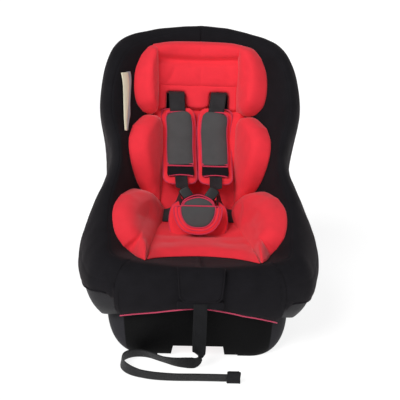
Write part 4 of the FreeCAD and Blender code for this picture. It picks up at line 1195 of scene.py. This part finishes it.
# ---------------------------------------------------------------- the adjuster's free strap
# The route of the strap's middle: the CAD strap's two lists, the drop and then the run along the floor.
DROP_ROUTE = [(0, -242, 122), (0, -246.5, 96), (0, -247.5, 66), (0, -251, 38), (0, -253, 26)]
FLOOR_ROUTE = [(-18, -257), (-44, -254), (-72, -236), (-98, -217), (-126, -222), (-142, -250),
               (-130, -284), (-96, -304), (-50, -310), (4, -308), (58, -309)]
FLOOR_HEIGHT = 13                        # a little over half the width of the strap, which stands on edge
STRAP_ROUTE = DROP_ROUTE + [(x, y, FLOOR_HEIGHT) for x, y in FLOOR_ROUTE]
STRAP_WIDTH = 25.0
STRAP_THICK = 1.7
# How far the strap's upper edge leans over, as a slope, at distances along the strap.
STRAP_LEAN = ((0, 0.0), (110, -0.1), (165, -0.7), (225, -0.6), (285, 0.0), (335, 0.5), (400, 0.6), (480, 0.6))


def strap_centreline():
    """Points read from the NURBS spline through the route."""
    curve = bpy.data.curves.new("strap_route", "CURVE")
    curve.dimensions = "3D"
    curve.resolution_u = 24
    spline = curve.splines.new("NURBS")
    spline.points.add(len(STRAP_ROUTE) - 1)
    for point, place in zip(spline.points, STRAP_ROUTE):
        point.co = (*(value * MM for value in place), 1.0)
    spline.order_u = 3
    spline.use_endpoint_u = True
    guide = bpy.data.objects.new("strap_route", curve)
    mesh = bpy.data.meshes.new_from_object(guide)
    line = np.array([vertex.co for vertex in mesh.vertices]) / MM
    bpy.data.objects.remove(guide)
    bpy.data.curves.remove(curve)
    bpy.data.meshes.remove(mesh)
    return line


def make_free_strap():
    """The loose end of the harness adjuster: it hangs flat, turns on edge and loops back along the floor."""
    line = strap_centreline()
    length = distances(line)[-1]
    line = smooth_line(line[::3], 190)
    ahead = unit(np.gradient(line, axis=0))
    run = np.linspace(0, length, len(line))

    def eased(start, end):
        share = ramp(run, start, end)
        return (share * share * (3 - 2 * share))[:, None]

    across = unit(np.cross(ahead, (0.0, 0.0, 1.0)), 1e-9)
    lean = np.interp(run, *zip(*STRAP_LEAN))[:, None]
    edge_side = np.array((0, 0, 1.0)) + across * lean
    turned = eased(48, 112)
    sides = ACROSS * (1 - turned) + edge_side * turned
    sides = unit(sides - ahead * np.sum(sides * ahead, axis=1, keepdims=True))
    half = np.abs(sides[:, 2]) * STRAP_WIDTH / 2 + 0.5
    on_floor = eased(84, 118)[:, 0]
    line[:, 2] = np.maximum(line[:, 2] * (1 - on_floor) + half * on_floor, half)
    strap = band("adjuster_tail", line, STRAP_WIDTH, STRAP_THICK, "strap_webbing", sides, None, across=11)
    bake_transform(strap)
    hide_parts("strap_drop", "strap_floor")
    end = make_strap_stop(line[-1], np.array((0.0, -0.17, 0.985)))


def make_strap_stop(start, side):
    """The strap's end, folded over itself into a thick stop."""
    face = unit(np.cross(side, ACROSS))
    spool = []
    for turn in range(3):
        reach, depth = 22.0 - 1.5 * turn, 1.9 * turn
        spool += [(1.0, depth), (11.0, depth + 0.1), (reach, depth + 0.2), (reach + 1.2, depth + 1.0),
                  (reach, depth + 1.8), (11.0, depth + 1.8), (2.5, depth + 1.8)]
    line = np.array([start + ACROSS * (x - 2.0) + face * (y - 2.6) for x, y in smooth_line(spool, 150)])
    line[:, 2] = np.maximum(line[:, 2], abs(side[2]) * 12.0 + 0.6)
    stop = band("strap_end_fold", line, 23.5, 1.7, "strap_webbing", side, "base", across=11)
    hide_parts("strap_stop")
    return stop


# ---------------------------------------------------------------- the room: floor and soft light
FLOOR_HALF = 9.0                         # metres
FLOOR_GREY = (0.30, 0.30, 0.30, 1.0)
FLOOR_GLOW = 0.84                        # the floor shines a little itself, so that it stays pale
SKY_HEIGHTS = (0.04, 0.34)               # the sky is bright up to the first and dim above the second
SKY_STRENGTHS = (1.0, 0.22)
# Each sun's turn about the seat, rise and spread in degrees, and strength.
SUNS = {"key_sun": (-38, 42, 30, 2.25), "fill_sun": (35, 40, 60, 0.35)}


def make_floor():
    plane = bpy.data.meshes.new("floor")
    corners = [(x * FLOOR_HALF, y * FLOOR_HALF, 0) for x, y in ((-1, -1), (1, -1), (1, 1), (-1, 1))]
    plane.from_pydata(corners, [], [(0, 1, 2, 3)])
    floor = bpy.data.objects.new("floor", plane)
    bpy.context.scene.collection.objects.link(floor)
    n = Nodes(bpy.data.materials.new("pale_floor"))
    n.surface(Base_Color=FLOOR_GREY, Emission_Color=WHITE, Emission_Strength=FLOOR_GLOW)
    n.surface(Roughness=0.8, Specular_IOR_Level=0.1)
    plane.materials.append(n.block)


def make_sky():
    """A white sky that dims with height, so that low places of the seat are lit from all round."""
    world = bpy.data.worlds.new("studio")
    bpy.context.scene.world = world
    n = Nodes(world, "Background")
    n.surface(Color=WHITE)
    height = n.split(n.add("ShaderNodeTexCoord").outputs["Generated"])[2]
    n.join(n.remap(height, *SKY_HEIGHTS, *SKY_STRENGTHS), n.shader.inputs["Strength"])


def make_suns():
    for name, (turn, rise, spread, strength) in SUNS.items():
        data = bpy.data.lights.new(name, "SUN")
        data.energy = strength
        data.angle = math.radians(spread)
        light = bpy.data.objects.new(name, data)
        turn, rise = math.radians(turn), math.radians(rise)
        place = Vector((math.sin(turn) * math.cos(rise), -math.cos(turn) * math.cos(rise), math.sin(rise)))
        light.rotation_euler = place.to_track_quat("Z", "Y").to_euler()
        light.location = place * 3
        bpy.context.scene.collection.objects.link(light)


make_floor()
make_sky()
make_suns()
make_free_strap()
make_cover()
make_cover_piping()
make_cover_stitching()
make_head_pads()
make_back_pads()
make_seat_pads()
make_shoulder_harness()
make_lap_harness()
make_crotch_pads()
make_tongue_grips()
make_front_flap()
make_adjuster_mouth()
make_tag()
